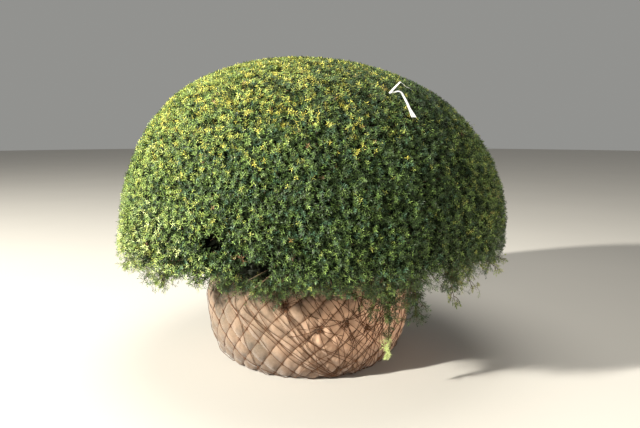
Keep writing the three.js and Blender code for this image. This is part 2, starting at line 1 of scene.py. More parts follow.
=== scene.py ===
import bpy
import numpy as np
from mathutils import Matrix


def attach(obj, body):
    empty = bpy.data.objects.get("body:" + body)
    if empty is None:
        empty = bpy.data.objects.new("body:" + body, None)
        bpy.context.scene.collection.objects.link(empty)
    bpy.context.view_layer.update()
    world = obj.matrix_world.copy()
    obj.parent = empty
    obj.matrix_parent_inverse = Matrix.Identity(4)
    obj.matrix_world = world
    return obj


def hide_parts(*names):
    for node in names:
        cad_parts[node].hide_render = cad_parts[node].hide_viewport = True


# Clipped yew dome on its hessian-wrapped, wire-netted root ball. Metres, +Z up,
# the front towards -Y, the origin in the middle of the ball's flat underside.

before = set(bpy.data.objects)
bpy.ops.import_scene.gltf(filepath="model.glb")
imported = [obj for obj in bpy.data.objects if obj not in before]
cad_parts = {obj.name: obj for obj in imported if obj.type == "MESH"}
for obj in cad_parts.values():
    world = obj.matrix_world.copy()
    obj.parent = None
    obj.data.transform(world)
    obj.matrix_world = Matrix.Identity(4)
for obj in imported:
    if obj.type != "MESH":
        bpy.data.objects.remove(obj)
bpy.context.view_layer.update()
print("frame loaded,", len(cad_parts), "nodes")

goldenAngle = np.pi * (3 - np.sqrt(5))
seed = 20417

# Camera: place, tilt in degrees and lens of the photograph
view = {"place": (0.08, -3.63, 1.425), "tiltDown": 8.5, "lens": 32.06, "sensor": 36.0}


def addObject(name, data):
    made = bpy.data.objects.new(name, data)
    bpy.context.collection.objects.link(made)
    return made


def placeCamera():
    data = bpy.data.cameras.new("camera")
    data.lens, data.sensor_width = view["lens"], view["sensor"]
    camera = addObject("camera", data)
    camera.location = view["place"]
    camera.rotation_euler = (np.radians(90 - view["tiltDown"]), 0, 0)
    bpy.context.scene.camera = camera


placeCamera()
print("camera placed")


# Numbers and shapes used by several pieces

def unit(vectors):
    # Every vector divided by its own length
    return vectors / np.maximum(np.linalg.norm(vectors, axis=-1, keepdims=True), 1e-9)


def polar(azimuth, radius, z, centreX=0.0):
    # Points at a distance from the upright line through centreX, for any matching arrays
    x, y = centreX + radius * np.cos(azimuth), radius * np.sin(azimuth)
    return np.stack(np.broadcast_arrays(x, y, z), axis=-1)


def blendOf(low, high, share):
    # The value a share of the way from low to high
    return low + (high - low) * share


def smoothStep(low, high, value):
    # 0 below low, 1 above high, 3x^2 - 2x^3 between
    x = np.clip((value - low) / (high - low), 0, 1)
    return x * x * (3 - 2 * x)


def waveNoise(points, size, salt, waves=7):
    # The mean of plane sine waves about size long, in seeded directions, near -1 to 1
    random = np.random.default_rng(salt)
    directions = unit(random.normal(size=(waves, 3)))
    lengths = size * random.uniform(0.7, 1.5, (waves, 1))
    phases = random.uniform(0, 2 * np.pi, waves)
    turns = points @ (directions / lengths * 2 * np.pi).T
    return 1.8 * np.sin(turns + phases).mean(axis=-1)


def weighted(weights, points):
    # The sum of three points, each times its own weight along the curve
    pairs = zip(weights, points)
    return sum(weight[:, None] * np.asarray(point, float)[..., None, :] for weight, point in pairs)


def curveThrough(start, middle, end, steps):
    # The parabola that meets start, middle and end at shares 0, 1/2 and 1
    t = np.linspace(0, 1, steps)
    return weighted((2 * t * t - 3 * t + 1, 4 * t - 4 * t * t, 2 * t * t - t), (start, middle, end))


def curveTowards(start, pull, end, steps):
    # The parabola from start to end that leaves towards its pull point and arrives from it
    t = np.linspace(0, 1, steps)
    return weighted(((1 - t) ** 2, 2 * t * (1 - t), t * t), (start, pull, end))


def sideOf(along):
    # A direction square to each given one
    helper = np.where(np.abs(along[..., 2:]) < 0.8, [0.0, 0.0, 1.0], [1.0, 0.0, 0.0])
    return unit(np.cross(helper, along))


def around(across, other, sides):
    # Directions evenly round the plane of two square ones
    turn = 2 * np.pi * np.arange(sides) / sides
    return across[..., None, :] * np.cos(turn)[:, None] + other[..., None, :] * np.sin(turn)[:, None]


def closedTriangles(rows, columns):
    # Two triangles for each cell between closed rings stored one after the other, and fans
    # from the first and last ring to two poles stored after the rings
    here = np.arange(columns)
    after = (here + 1) % columns
    low = np.arange(rows - 1)[:, None] * columns
    a, b, c, d = low + here, low + after, low + columns + after, low + columns + here
    last, pole = (rows - 1) * columns, np.full(columns, rows * columns)
    return np.concatenate([
        np.stack([a, b, c, a, c, d], axis=-1).reshape(-1, 3),
        np.stack([after, here, pole], axis=-1),
        np.stack([last + here, last + after, pole + 1], axis=-1),
    ])


def joinedShapes(points, triangles):
    # Many copies of one set of triangles over (copies, points, 3) as one list of each
    copies, size, _ = points.shape
    shifted = triangles[None] + (np.arange(copies) * size)[:, None, None]
    return points.reshape(-1, 3), shifted.reshape(-1, 3)


def joinedLists(shapes):
    # Several (points, triangles) pairs as one
    starts = np.cumsum([0] + [len(points) for points, _ in shapes[:-1]])
    points = np.concatenate([points for points, _ in shapes])
    return points, np.concatenate([tri + start for (_, tri), start in zip(shapes, starts)])


def tubes(paths, radii, sides, relief=0.0, grain=0.02):
    # Every path's points carry rings square to the path; the first and last ring close in
    # their own middle. Relief moves the skin in and out by slow noise drawn along the path.
    # A path that ends just where it starts gives no direction, and its tube no thickness.
    paths = np.asarray(paths, float)
    count, steps, _ = paths.shape
    along = unit(np.gradient(paths, axis=1))
    across = sideOf(unit(paths[:, -1:] - paths[:, :1]))
    across = unit(across - along * (across * along).sum(-1, keepdims=True))
    out = around(across, np.cross(along, across), sides)
    reach = np.broadcast_to(radii, (count, steps))[:, :, None, None]
    if relief:
        skin = paths[:, :, None] + out * reach
        reach = reach + relief * waveNoise(skin * [1, 1, 0.35], grain, seed)[..., None]
    rings = (paths[:, :, None] + out * reach).reshape(count, -1, 3)
    return joinedShapes(np.concatenate([rings, paths[:, :1], paths[:, -1:]], axis=1),
                        closedTriangles(steps, sides))


def addPiece(name, shape, material, nodes, smooth=True, uv=None, marks=None):
    # Puts points and triangles in a mesh that rides on the plant and stands for its CAD nodes
    points, triangles = shape
    mesh = bpy.data.meshes.new(name)
    mesh.vertices.add(len(points))
    mesh.vertices.foreach_set("co", points.astype(np.float32).ravel())
    mesh.loops.add(triangles.size)
    mesh.loops.foreach_set("vertex_index", triangles.astype(np.int32).ravel())
    mesh.polygons.add(len(triangles))
    mesh.polygons.foreach_set("loop_start", np.arange(0, triangles.size, 3, dtype=np.int32))
    mesh.polygons.foreach_set("use_smooth", np.full(len(triangles), smooth))
    if uv is not None:
        layer = mesh.uv_layers.new(name="flat")
        layer.data.foreach_set("uv", uv[triangles.ravel()].astype(np.float32).ravel())
    for label, values in (marks or {}).items():
        attribute = mesh.attributes.new(label, "FLOAT", "POINT")
        attribute.data.foreach_set("value", values.astype(np.float32).ravel())
    mesh.update(calc_edges=True)
    mesh.materials.append(material)
    piece = addObject(name, mesh)
    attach(piece, "root")
    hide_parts(*nodes)
    print("  ", name, len(triangles), "triangles")


# Shader nodes, node groups and materials

def fill(tree, sockets, values):
    # Each named socket takes another node's result or a plain value
    for key, value in values.items():
        if isinstance(value, bpy.types.NodeSocket):
            tree.links.new(value, sockets[key])
        else:
            sockets[key].default_value = value


def node(tree, kind, values=None, **settings):
    made = tree.nodes.new("ShaderNode" + kind)
    for key, value in settings.items():
        setattr(made, key, value)
    fill(tree, made.inputs, values or {})
    return made


def objectPlace(tree):
    return node(tree, "TexCoord").outputs["Object"]


def noise(tree, vector, scale, detail, roughness=0.5):
    values = {"Vector": vector, "Scale": scale, "Detail": detail, "Roughness": roughness}
    return node(tree, "TexNoise", values).outputs[0]


def maths(tree, operation, first, second):
    return node(tree, "Math", {0: first, 1: second}, operation=operation).outputs[0]


def stretched(tree, value, low, high, toLow=0.0, toHigh=1.0):
    values = {"Value": value, "From Min": low, "From Max": high, "To Min": toLow, "To Max": toHigh}
    return node(tree, "MapRange", values).outputs[0]


def mixColours(tree, factor, first, second):
    return node(tree, "Mix", {0: factor, 6: first, 7: second}, data_type="RGBA").outputs[2]


def rgba(colour, factor=1.0):
    return tuple(float(c * factor) for c in colour) + (1.0,)


def newGroup(name, inputs, outputs):
    # Inputs are given with their defaults, a number or a colour. Only Color puts out a colour.
    group = bpy.data.node_groups.new(name, "ShaderNodeTree")
    kinds = {True: "NodeSocketColor", False: "NodeSocketFloat"}
    for label, default in inputs.items():
        kind = kinds[isinstance(default, tuple)]
        group.interface.new_socket(label, in_out="INPUT", socket_type=kind).default_value = default
    for label in outputs:
        group.interface.new_socket(label, in_out="OUTPUT", socket_type=kinds[label == "Color"])
    given, result = group.nodes.new("NodeGroupInput"), group.nodes.new("NodeGroupOutput")
    return group, given.outputs, result.inputs


def needleTintGroup():
    # Two greens and a roughness that drift from needle to needle: the needles' own young and old tones,
    # spread into painted sun catch on some needles and painted shade on others
    inputs = {"Young and lit": (0.1, 0.2, 0.03, 1), "Old": (0.05, 0.1, 0.02, 1), "Patch size": 120.0}
    group, given, result = newGroup("needle tint", inputs, ("Color", "Roughness"))
    drift = noise(group, objectPlace(group), given["Patch size"], 1.0)
    colour = mixColours(group, stretched(group, drift, 0.36, 0.64), given["Old"], given["Young and lit"])
    fill(group, result, {"Color": colour, "Roughness": stretched(group, drift, 0.3, 0.7, 0.58, 0.38)})
    return group


def barkGroup():
    # Flaking red-brown bark: stretched noise gives flakes, a finer one the grain in them
    inputs = {"Flake": (0.2, 0.1, 0.06, 1), "Under": (0.07, 0.04, 0.03, 1), "Scale": 26.0}
    group, given, result = newGroup("yew bark", inputs, ("Color", "Roughness", "Height"))
    along = node(group, "Mapping", {"Vector": objectPlace(group), "Scale": (1.0, 1.0, 0.3)}).outputs[0]
    flakes = node(group, "TexVoronoi", {"Vector": along, "Scale": given["Scale"]}).outputs["Distance"]
    grain = noise(group, along, 240.0, 4.0)
    both = maths(group, "MULTIPLY", flakes, grain)
    fill(group, result, {
        "Color": mixColours(group, stretched(group, both, 0.08, 0.34), given["Flake"], given["Under"]),
        "Roughness": stretched(group, grain, 0.3, 0.7, 0.75, 0.95),
        "Height": both,
    })
    return group


def stainGroup():
    # Cloudy stains of earth, stronger towards a low level
    inputs = {"Clean": (0.5, 0.4, 0.3, 1), "Stain": (0.1, 0.06, 0.04, 1), "Top": 0.3, "Amount": 0.8}
    group, given, result = newGroup("earth stains", inputs, ("Color", "Mask"))
    place = objectPlace(group)
    height = node(group, "SeparateXYZ", {0: place}).outputs["Z"]
    lifted = maths(group, "DIVIDE", height, given["Top"])
    edge = maths(group, "SUBTRACT", noise(group, place, 9.0, 5.0, 0.62), lifted)
    strength = maths(group, "MULTIPLY", stretched(group, edge, -0.25, 0.42), given["Amount"])
    stained = mixColours(group, strength, given["Clean"], given["Stain"])
    fill(group, result, {"Color": stained, "Mask": strength})
    return group


needleTint, barkSkin, earthStains = needleTintGroup(), barkGroup(), stainGroup()


def newMaterial(name, fixed):
    # fixed holds the values set on the shader's own sockets
    material = bpy.data.materials.new(name)
    material.use_nodes = True
    tree = material.node_tree
    shader = tree.nodes["Principled BSDF"].inputs
    fill(tree, shader, fixed)
    return material, tree, shader


def addBump(tree, shader, height, strength, distance):
    bump = node(tree, "Bump", {"Height": height, "Strength": strength, "Distance": distance})
    fill(tree, shader, {"Normal": bump.outputs[0]})


needleLook = {
    # young and old: the spray's colour brightened and darkened needle to needle, partly the needles' own
    # tone, partly painted sun catch and painted shade
    "young": 1.7,  # times the spray's colour
    "oldAndShaded": 0.24,
    "gloss": 0.34,
    "shadedGloss": 0.05,
    "shadedBelow": 0.05,  # the brightest a shaded colour may be
    "paleShare": 0.85,
    "paleAdded": 0.014,
}


def needleMaterial(name, colour):
    # The underside of a yew needle is paler and duller than its upper side
    gloss = needleLook["shadedGloss" if max(colour) < needleLook["shadedBelow"] else "gloss"]
    material, tree, shader = newMaterial(name, {"Specular IOR Level": gloss})
    greens = {"Young and lit": rgba(colour, needleLook["young"]), "Old": rgba(colour, needleLook["oldAndShaded"])}
    tint = node(tree, "Group", greens, node_tree=needleTint).outputs
    behind = node(tree, "NewGeometry").outputs["Backfacing"]
    pale = rgba([needleLook["paleShare"] * c + needleLook["paleAdded"] for c in colour])
    colours = mixColours(tree, behind, tint["Color"], pale)
    fill(tree, shader, {"Base Color": colours, "Roughness": tint["Roughness"]})
    return material


def barkMaterial(name, flake, under, scale, depth):
    material, tree, shader = newMaterial(name, {"Specular IOR Level": 0.25})
    values = {"Flake": rgba(flake), "Under": rgba(under), "Scale": scale}
    skin = node(tree, "Group", values, node_tree=barkSkin).outputs
    fill(tree, shader, {"Base Color": skin["Color"], "Roughness": skin["Roughness"]})
    addBump(tree, shader, skin["Height"], 0.7, depth)
    return material


def speckledMaterial(name, fixed, look):
    # Two colours and two roughnesses that follow one noise, and maybe a bump from it
    material, tree, shader = newMaterial(name, fixed)
    cloud = noise(tree, objectPlace(tree), look["scale"], look["detail"])
    share = stretched(tree, cloud, *look["spread"]) if look["spread"] else cloud
    fill(tree, shader, {"Base Color": mixColours(tree, share, *map(rgba, look["colours"])),
                        "Roughness": stretched(tree, cloud, 0.3, 0.7, *look["roughness"])})
    if "bump" in look:
        addBump(tree, shader, cloud, *look["bump"])
    return material


# Floor, light and backdrop
studio = {
    "floorRadius": 40.0,
    "floorColour": (0.58, 0.555, 0.52),
    "skyColour": (0.96, 0.96, 0.92),
    "skyStrength": 0.30,
    "keyAzimuth": -150.0,  # degrees round the plant, the front being -90
    "keyElevation": 22.0,
    "keyDistance": 15.0,
    "keySize": 0.6,
    "keyPower": 6900.0,
    "keyColour": (1.0, 0.97, 0.87),
    "topHeight": 6.0,
    "topSize": 5.0,
    "topPower": 240.0,
    "topColour": (1.0, 0.97, 0.88),
    "sidePlace": (2.6, -2.6, 0.30),  # low fill for the ball's shaded side
    "sideSize": 1.2,
    "sideSpread": 30.0,  # degrees
    "sidePower": 4.5,
    "sideColour": (1.0, 0.86, 0.72),
    "aim": (0.0, 0.0, 0.9),
}


def discLight(name):
    data = bpy.data.lights.new(name, "AREA")
    data.shape = "DISK"
    data.size = studio[name + "Size"]
    data.energy = studio[name + "Power"]
    data.color = studio[name + "Colour"]
    return addObject(name, data)


def layFloor():
    # A wide disc with faint clouds in its colour
    material, tree, shader = newMaterial("pale floor", {"Specular IOR Level": 0.15, "Roughness": 0.85})
    cloud = noise(tree, objectPlace(tree), 0.7, 3.0)
    darker, lighter = rgba(studio["floorColour"], 0.97), rgba(studio["floorColour"], 1.03)
    fill(tree, shader, {"Base Color": mixColours(tree, cloud, darker, lighter)})
    ring = polar(2 * np.pi * np.arange(96) / 96, studio["floorRadius"], 0.0)
    mesh = bpy.data.meshes.new("floor")
    mesh.from_pydata(ring.tolist(), [], [list(range(96))])
    mesh.materials.append(material)
    addObject("floor", mesh)


def setStudio():
    layFloor()
    world = bpy.data.worlds.new("studio")
    world.use_nodes = True
    sky = {"Color": rgba(studio["skyColour"]), "Strength": studio["skyStrength"]}
    fill(world.node_tree, world.node_tree.nodes["Background"].inputs, sky)
    bpy.context.scene.world = world
    bpy.context.scene.view_settings.view_transform = "Standard"
    key, top, side = (discLight(name) for name in ("key", "top", "side"))
    azimuth, elevation = np.radians([studio["keyAzimuth"], studio["keyElevation"]])
    level = studio["keyDistance"] * np.cos(elevation)
    offset = polar(azimuth, level, studio["keyDistance"] * np.sin(elevation))
    key.location = np.add(studio["aim"], offset)
    key.rotation_euler = (np.pi / 2 - elevation, 0, azimuth + np.pi / 2)
    top.location = (0, 0, studio["topHeight"])
    side.data.spread = np.radians(studio["sideSpread"])
    side.location = studio["sidePlace"]
    sideAzimuth = np.arctan2(studio["sidePlace"][1], studio["sidePlace"][0])
    side.rotation_euler = (np.pi / 2, 0, sideAzimuth + np.pi / 2)


setStudio()
print("studio set")


# Profiles turned round the vertical axis

def turnedProfile(radii, heights):
    # Arc lengths and outward normals of a profile of (radius, height) points, lowest first
    arcs = np.concatenate([[0], np.cumsum(np.hypot(np.diff(radii), np.diff(heights)))])
    alongRadius, alongHeight = np.gradient(radii, arcs), np.gradient(heights, arcs)
    size = np.hypot(alongRadius, alongHeight)
    return {"arcs": arcs, "radii": radii, "heights": heights,
            "outRadius": alongHeight / size, "outHeight": -alongRadius / size}


def profileAt(profile, arc):
    # Radius, height and the outward normal's two parts at an arc length
    return [np.interp(arc, profile["arcs"], profile[key])
            for key in ("radii", "heights", "outRadius", "outHeight")]


# Root ball: a quarter ellipse up to the widest level, then a superellipse shoulder
ball = {
    "baseRadius": 0.470,
    "widestRadius": 0.640,
    "widestZ": 0.400,
    "collarRadius": 0.150,
    "topZ": 0.612,
    "shoulderPower": 2.2,
    "wobble": 0.009,
    "columns": 31,  # diamonds of the net round the ball
    "cellHeight": 0.150,
    "pillow": 0.019,  # most that the cloth swells between wires
    "pillowPower": 0.62,
    "wall": 0.004,
    "collar": [(0.121, 0.636), (0.124, 0.652), (0.136, 0.676)],  # waist to mouth
    "collarPleat": 0.004,
    "gathers": 23,
    "gatherDepth": 0.006,
    "pitDepth": 0.014,  # at a bunch of strength 1
    "pitSize": 0.030,
    "creaseDepth": 0.0032,
    "warp": (0.16, 0.30),  # cells the net strays: everywhere, and more on its rough side
    "gridColumns": 592,
    "sideRows": 118,
    "meanRadius": 0.62,  # turns an azimuth into a run over the cloth
}
# Where the net is bunched: azimuth in degrees, height, strength
bunches = [(-83.9, 0.338, 1.0), (-69.3, 0.372, 1.2), (-56.4, 0.311, 0.9), (-62.6, 0.500, 0.8),
           (-100.0, 0.470, 0.6), (35.0, 0.36, 0.9), (120.0, 0.42, 1.0), (160.0, 0.30, 0.7)]

quarter = np.linspace(0, np.pi / 2, 41)
shoulder = quarter[1:]
shoulderPower = 2 / ball["shoulderPower"]
ballProfile = turnedProfile(
    np.concatenate([
        ball["baseRadius"] + (ball["widestRadius"] - ball["baseRadius"]) * np.sin(quarter),
        ball["collarRadius"] + (ball["widestRadius"] - ball["collarRadius"])
        * np.maximum(np.cos(shoulder), 0) ** shoulderPower,
    ]),
    np.concatenate([
        ball["widestZ"] * (1 - np.cos(quarter)),
        ball["widestZ"] + (ball["topZ"] - ball["widestZ"]) * np.sin(shoulder) ** shoulderPower,
    ]),
)
ballLength = ballProfile["arcs"][-1]


def arcOfHeight(z):
    # Arc length up the ball's profile at a height
    return np.interp(z, ballProfile["heights"], ballProfile["arcs"])


def ballPoint(azimuth, arc, out):
    # The profile's point moved out along its normal, with slow swells round the ball
    radius, height, outRadius, outHeight = profileAt(ballProfile, arc)
    slow = np.sin(3 * azimuth + 0.6) + 0.7 * np.sin(5 * azimuth + 2.1)
    radius = radius + outRadius * out + ball["wobble"] * slow * np.sin(np.pi * arc / ballLength)
    return polar(azimuth, radius, np.maximum(height + outHeight * out, 0.001))


def roughSide(azimuth):
    # 1 where the net lies doubled and crooked, at the front right and part of the back
    front = np.cos(azimuth - np.radians(-50.0))
    back = np.cos(azimuth - np.radians(130.0))
    return np.maximum(smoothStep(0.62, 0.95, front), 0.7 * smoothStep(0.7, 0.97, back))


def netWarp(azimuth, arc):
    # How far the net's two counts stray from an even lattice, in cells
    spot = polar(azimuth, ball["widestRadius"], arc)
    amount = ball["warp"][0] + ball["warp"][1] * roughSide(azimuth)
    return amount * waveNoise(spot, 0.55, 11), amount * waveNoise(spot, 0.48, 12)


def netCounts(azimuth, arc):
    # The two families of wires lie where either count is whole
    across, up = netWarp(azimuth, arc)
    column = ball["columns"] * azimuth / (2 * np.pi) + across
    row = arc / ball["cellHeight"] + up
    return column + row, column - row


def nearBunches(azimuth, arc):
    # Distance and direction to every bunch, as arrays with the bunches first
    shape = (-1,) + (1,) * np.ndim(azimuth)
    bunchAzimuth, bunchHeight, strength = (row.reshape(shape) for row in np.array(bunches).T)
    turn = (azimuth - np.radians(bunchAzimuth) + np.pi) % (2 * np.pi) - np.pi
    right, rise = ball["meanRadius"] * turn, arc - arcOfHeight(bunchHeight)
    return np.hypot(right, rise), np.arctan2(rise, right), strength


def clothLift(azimuth, arc):
    # Cloth above the ball's skin: a pillow in every diamond, pits and creases round the
    # bunches, and wrinkles that run up and down. Also how close the wires are, 0 to 1.
    first, second = netCounts(azimuth, arc)
    gap = np.abs(np.sin(np.pi * first)) * np.abs(np.sin(np.pi * second))
    cell = np.sin(np.floor(first) * 12.9898 + np.floor(second) * 78.233) * 43758.5453
    size = 0.62 + 0.38 * (cell - np.floor(cell))
    netted = smoothStep(0.0, 0.05, arc) * smoothStep(0.80, 0.66, arc)
    pillow = ball["pillow"] * size * gap ** ball["pillowPower"] * netted
    spot = polar(azimuth, ball["widestRadius"], 0.4 * arc)
    wrinkle = 0.0030 * waveNoise(spot, 0.060, 13) + 0.0016 * waveNoise(spot * [1, 1, 2.2], 0.026, 14)
    distance, direction, strength = nearBunches(azimuth, arc)
    pit = (-ball["pitDepth"] * strength * np.exp(-(distance / ball["pitSize"]) ** 2)).sum(0)
    ridge = ball["creaseDepth"] * strength * np.cos(9 * direction)
    creases = (ridge * np.exp(-((distance - 0.045) / 0.04) ** 2)).sum(0)
    pleats = ball["gatherDepth"] * np.abs(np.sin(ball["gathers"] * azimuth / 2 + 1.3 * np.sin(3 * azimuth)))
    gathered = smoothStep(0.72, 0.98, arc)
    lift = pillow + pit + wrinkle * (0.35 + 0.65 * gap) * (1 - gathered) + creases + pleats * gathered
    wireNear = np.exp(-(gap / 0.16) ** 2) * netted + np.exp(-(distance / 0.04) ** 2).sum(0)
    return lift, np.clip(wireNear, 0, 1)


def makeHessian():
    # One closed shell: underside, netted side, shoulder, collar, and the inner wall back down
    columns, rows, wall = ball["gridColumns"], ball["sideRows"], ball["wall"]
    azimuth = 2 * np.pi * np.arange(columns) / columns
    arcs = np.linspace(0, ballLength, rows)[:, None]
    lift, wireNear = clothLift(azimuth[None, :], arcs)
    side = ballPoint(azimuth[None, :], arcs, lift * smoothStep(0.0, 0.03, arcs))
    pleat = ball["collarPleat"] * np.sin(ball["gathers"] * azimuth + 2 * np.sin(2 * azimuth))
    collar = [polar(azimuth, radius + pleat, z)[None] for radius, z in ball["collar"]]
    collarInside = [polar(azimuth, radius + pleat - wall, z)[None] for radius, z in reversed(ball["collar"])]
    collarInside[0][..., 2] -= 0.001
    innerArcs = np.linspace(ballLength, 0, 15)[:, None]
    inner = ballPoint(azimuth[None, :], innerArcs, np.full((1, columns), -wall))
    inner[..., 2] = np.maximum(inner[..., 2], wall)
    under = [polar(azimuth, ball["baseRadius"] * share, 0.0)[None] for share in (0.35, 0.7, 0.93)]
    innerUnder = [polar(azimuth, (ball["baseRadius"] - wall) * share, wall)[None] for share in (0.7, 0.35)]
    rings = np.concatenate([*under, side, *collar, *collarInside, inner, *innerUnder])
    total = len(rings)
    points = np.concatenate([rings.reshape(-1, 3), [[0, 0, 0], [0, 0, wall]]])
    nearWire = np.zeros((total, columns))
    nearWire[len(under):len(under) + rows] = wireNear
    length = np.concatenate([[0], np.cumsum(np.linalg.norm(np.diff(rings[:, 0], axis=0), axis=-1))])
    flat = np.stack(np.broadcast_arrays(0.6 * azimuth[None, :], length[:, None]), axis=-1).reshape(-1, 2)
    flat = np.concatenate([flat, [[0, 0], [0, 0]]])
    return (points, closedTriangles(total, columns)), flat, np.concatenate([nearWire.ravel(), [0, 0]])


cloth = {
    "weaveScale": 620.0 / 6.283,  # a thread every 3.2 mm
    "distortion": 1.2,
    # left and right: the cloth's own sand and tan, with painted light that makes the key-lit left darker and
    # the shaded right lighter
    "left": (0.094, 0.073, 0.051),
    "right": (0.53, 0.33, 0.215),
    "fibre": (0.38, 0.275, 0.19),
    "shadeBetweenThreads": (0.20, 0.12, 0.07),  # painted shade between threads
    # rust: rust stains and painted crease shade along the wires and round the bunches
    "rust": (0.20, 0.105, 0.055),
    "earth": (0.11, 0.07, 0.045),
    "earthTop": 0.31,
    "earthAmount": 0.8,
}


def hessianMaterial():
    # Coarse plain weave from the cloth's own UV map, sand on the left going to tan on the
    # right with painted light that darkens the key-lit left and lightens the shaded right,
    # painted shade between the threads, rust stains and painted crease shade along the
    # wires, and earth at the foot
    fixed = {"Specular IOR Level": 0.1, "Sheen Weight": 0.25, "Sheen Roughness": 0.6}
    material, tree, shader = newMaterial("hessian", fixed)
    place = objectPlace(tree)
    flat = node(tree, "UVMap", uv_map="flat").outputs[0]
    bands = {"Vector": flat, "Scale": cloth["weaveScale"], "Distortion": cloth["distortion"], "Detail": 1.0}
    warp, weft = (node(tree, "TexWave", bands, bands_direction=way).outputs["Fac"] for way in "XY")
    weave = maths(tree, "MAXIMUM", warp, weft)
    cloud, fibre = noise(tree, place, 7.0, 5.0, 0.6), noise(tree, place, 90.0, 3.0)
    x = node(tree, "SeparateXYZ", {0: place}).outputs["X"]
    # Painted light from the key-lit left to the shaded right, with cloudy patches
    paintedLightAndPatches = maths(tree, "ADD", stretched(tree, x, -0.25, 0.5), cloud)
    # Near the wires and bunches: rust stains and painted shade in the creases, broken up by cloud
    nearWire = node(tree, "Attribute", attribute_name="wireNear").outputs["Fac"]
    rustAndCreaseShade = maths(tree, "MULTIPLY", nearWire, cloud)
    base = mixColours(tree, stretched(tree, paintedLightAndPatches, 0.35, 1.22), rgba(cloth["left"]), rgba(cloth["right"]))
    coats = ((fibre, (0.3, 0.75, 0.0, 0.30), "fibre"), (weave, (0.2, 0.8, 0.22, 0.0), "shadeBetweenThreads"),
             (rustAndCreaseShade, (0.12, 0.75, 0.0, 0.75), "rust"))
    for value, spread, colour in coats:
        base = mixColours(tree, stretched(tree, value, *spread), base, rgba(cloth[colour]))
    stains = {"Clean": base, "Stain": rgba(cloth["earth"]), "Top": cloth["earthTop"],
              "Amount": cloth["earthAmount"]}
    stained = node(tree, "Group", stains, node_tree=earthStains).outputs["Color"]
    fill(tree, shader, {"Base Color": stained, "Roughness": stretched(tree, fibre, 0.2, 0.8, 0.85, 0.98)})
    addBump(tree, shader, maths(tree, "ADD", weave, fibre), 0.6, 0.0012)
    return material


hessianShape, hessianFlat, hessianWires = makeHessian()
addPiece("hessian", hessianShape, hessianMaterial(), ["hessian_wrap"],
         uv=hessianFlat, marks={"wireNear": hessianWires})
print("hessian made")


# Wire net: both families of the lattice, extra crooked strands, ties and bunches
netWire = {
    "radius": 0.0017,
    "lowArc": 0.014,
    "highArc": 0.745,
    "steps": 44,
    "proud": 0.0012,  # the wire's middle above the cloth
    "looseCount": 52,
    "tieTurns": 2.5,
    "tieLength": 0.024,
    "tieRadius": 0.0032,
    "tieWire": 0.0015,
    "knots": 7,
    "knotLength": 0.034,
    "knotRadius": 0.0075,
    "knotWire": 0.0024,
    "bunchStrands": 9,
}
rust = {"scale": 55.0, "detail": 4.0, "spread": (0.35, 0.65), "roughness": (0.6, 0.92),
        "colours": ((0.075, 0.042, 0.026), (0.17, 0.075, 0.035))}


def netStrand(count, family, arcs):
    # Solves for the azimuth at which a family's count is whole, by repeated correction
    azimuth = 2 * np.pi * (count + (-family) * arcs / ball["cellHeight"]) / ball["columns"]
    for _ in range(12):
        miss = netCounts(azimuth, arcs)[0 if family > 0 else 1] - count
        azimuth = azimuth - 0.7 * miss * 2 * np.pi / ball["columns"]
    return azimuth


def tautOver(lift):
    # A pulled wire bridges hollows: no lower than the mean of its neighbours
    for _ in range(6):
        spread = lift.copy()
        spread[:, 1:-1] = (lift[:, :-2] + lift[:, 2:]) / 2
        lift = np.maximum(lift, spread)
    return lift


def wireOnCloth(azimuth, arcs, above):
    # The cloth's lift pulled taut, plus a height above it, kept clear of the floor
    lift = tautOver(clothLift(azimuth, arcs)[0] * smoothStep(0.0, 0.03, arcs))
    path = ballPoint(azimuth, arcs, lift + above)
    path[..., 2] = np.maximum(path[..., 2], netWire["radius"] + 0.001)
    return path


def makeNet():
    # Both families of strands, crooked ones laid over them, and the two ring wires
    random = np.random.default_rng(seed + 30)
    counts = np.arange(ball["columns"])[:, None]
    arcs = np.linspace(netWire["lowArc"], netWire["highArc"], netWire["steps"]) + 0 * counts
    radius, proud = netWire["radius"], netWire["proud"]
    strands = [wireOnCloth(netStrand(counts, family, arcs), arcs, proud + lay)
               for family, lay in ((1, 0.0), (-1, 0.002))]
    # Loose strands start anywhere round the ball but mostly on its rough side
    loose = netWire["looseCount"]
    crooked = loose * 3 // 4
    start = np.concatenate([random.normal(-0.92, 0.34, crooked),
                            random.uniform(0, 2 * np.pi, loose - crooked)])
    slope = random.choice([-1, 1], loose) * random.uniform(0.25, 1.1, loose)
    share = np.linspace(0, 1, netWire["steps"])
    looseArcs = 0.03 + share * random.uniform(0.45, 0.68, (loose, 1))
    wander = 0.05 * np.sin(share * random.uniform(4, 11, (loose, 1)) + random.uniform(0, 6, (loose, 1)))
    strands.append(wireOnCloth(start[:, None] + slope[:, None] * share + wander, looseArcs, proud + 0.003))
    shapes = [tubes(paths, radius, 5) for paths in strands]
    # Edge wires round the foot and a drawn wire round the shoulder
    turn = np.linspace(0, 2 * np.pi, 181)[None, :]
    for arc, thick in ((netWire["lowArc"], radius), (netWire["highArc"], 1.4 * radius)):
        ringArcs = arc + 0.006 * np.sin(7 * turn) * (arc > 0.1)
        shapes.append(tubes(wireOnCloth(turn, ringArcs, proud), thick, 5))
    return joinedLists(shapes)


def twists(azimuth, arcs, turns, length, radius, thickness, slant):
    # Short helices lying on the cloth where wires cross: a circle carried along a slanted line
    share = np.linspace(0, 1, 15)
    along = (share - 0.5) * length
    spin = 2 * np.pi * turns * share
    rightward = np.cos(slant)[:, None] * along + np.sin(slant)[:, None] * radius * np.cos(spin)
    rise = np.sin(slant)[:, None] * along - np.cos(slant)[:, None] * radius * np.cos(spin)
    lift = clothLift(azimuth, arcs)[0][:, None] + radius * 0.6 + radius * np.sin(spin)
    path = ballPoint(azimuth[:, None] + rightward / ball["meanRadius"], arcs[:, None] + rise, lift)
    path[..., 2] = np.maximum(path[..., 2], thickness + 0.001)
    return tubes(path, thickness, 4)


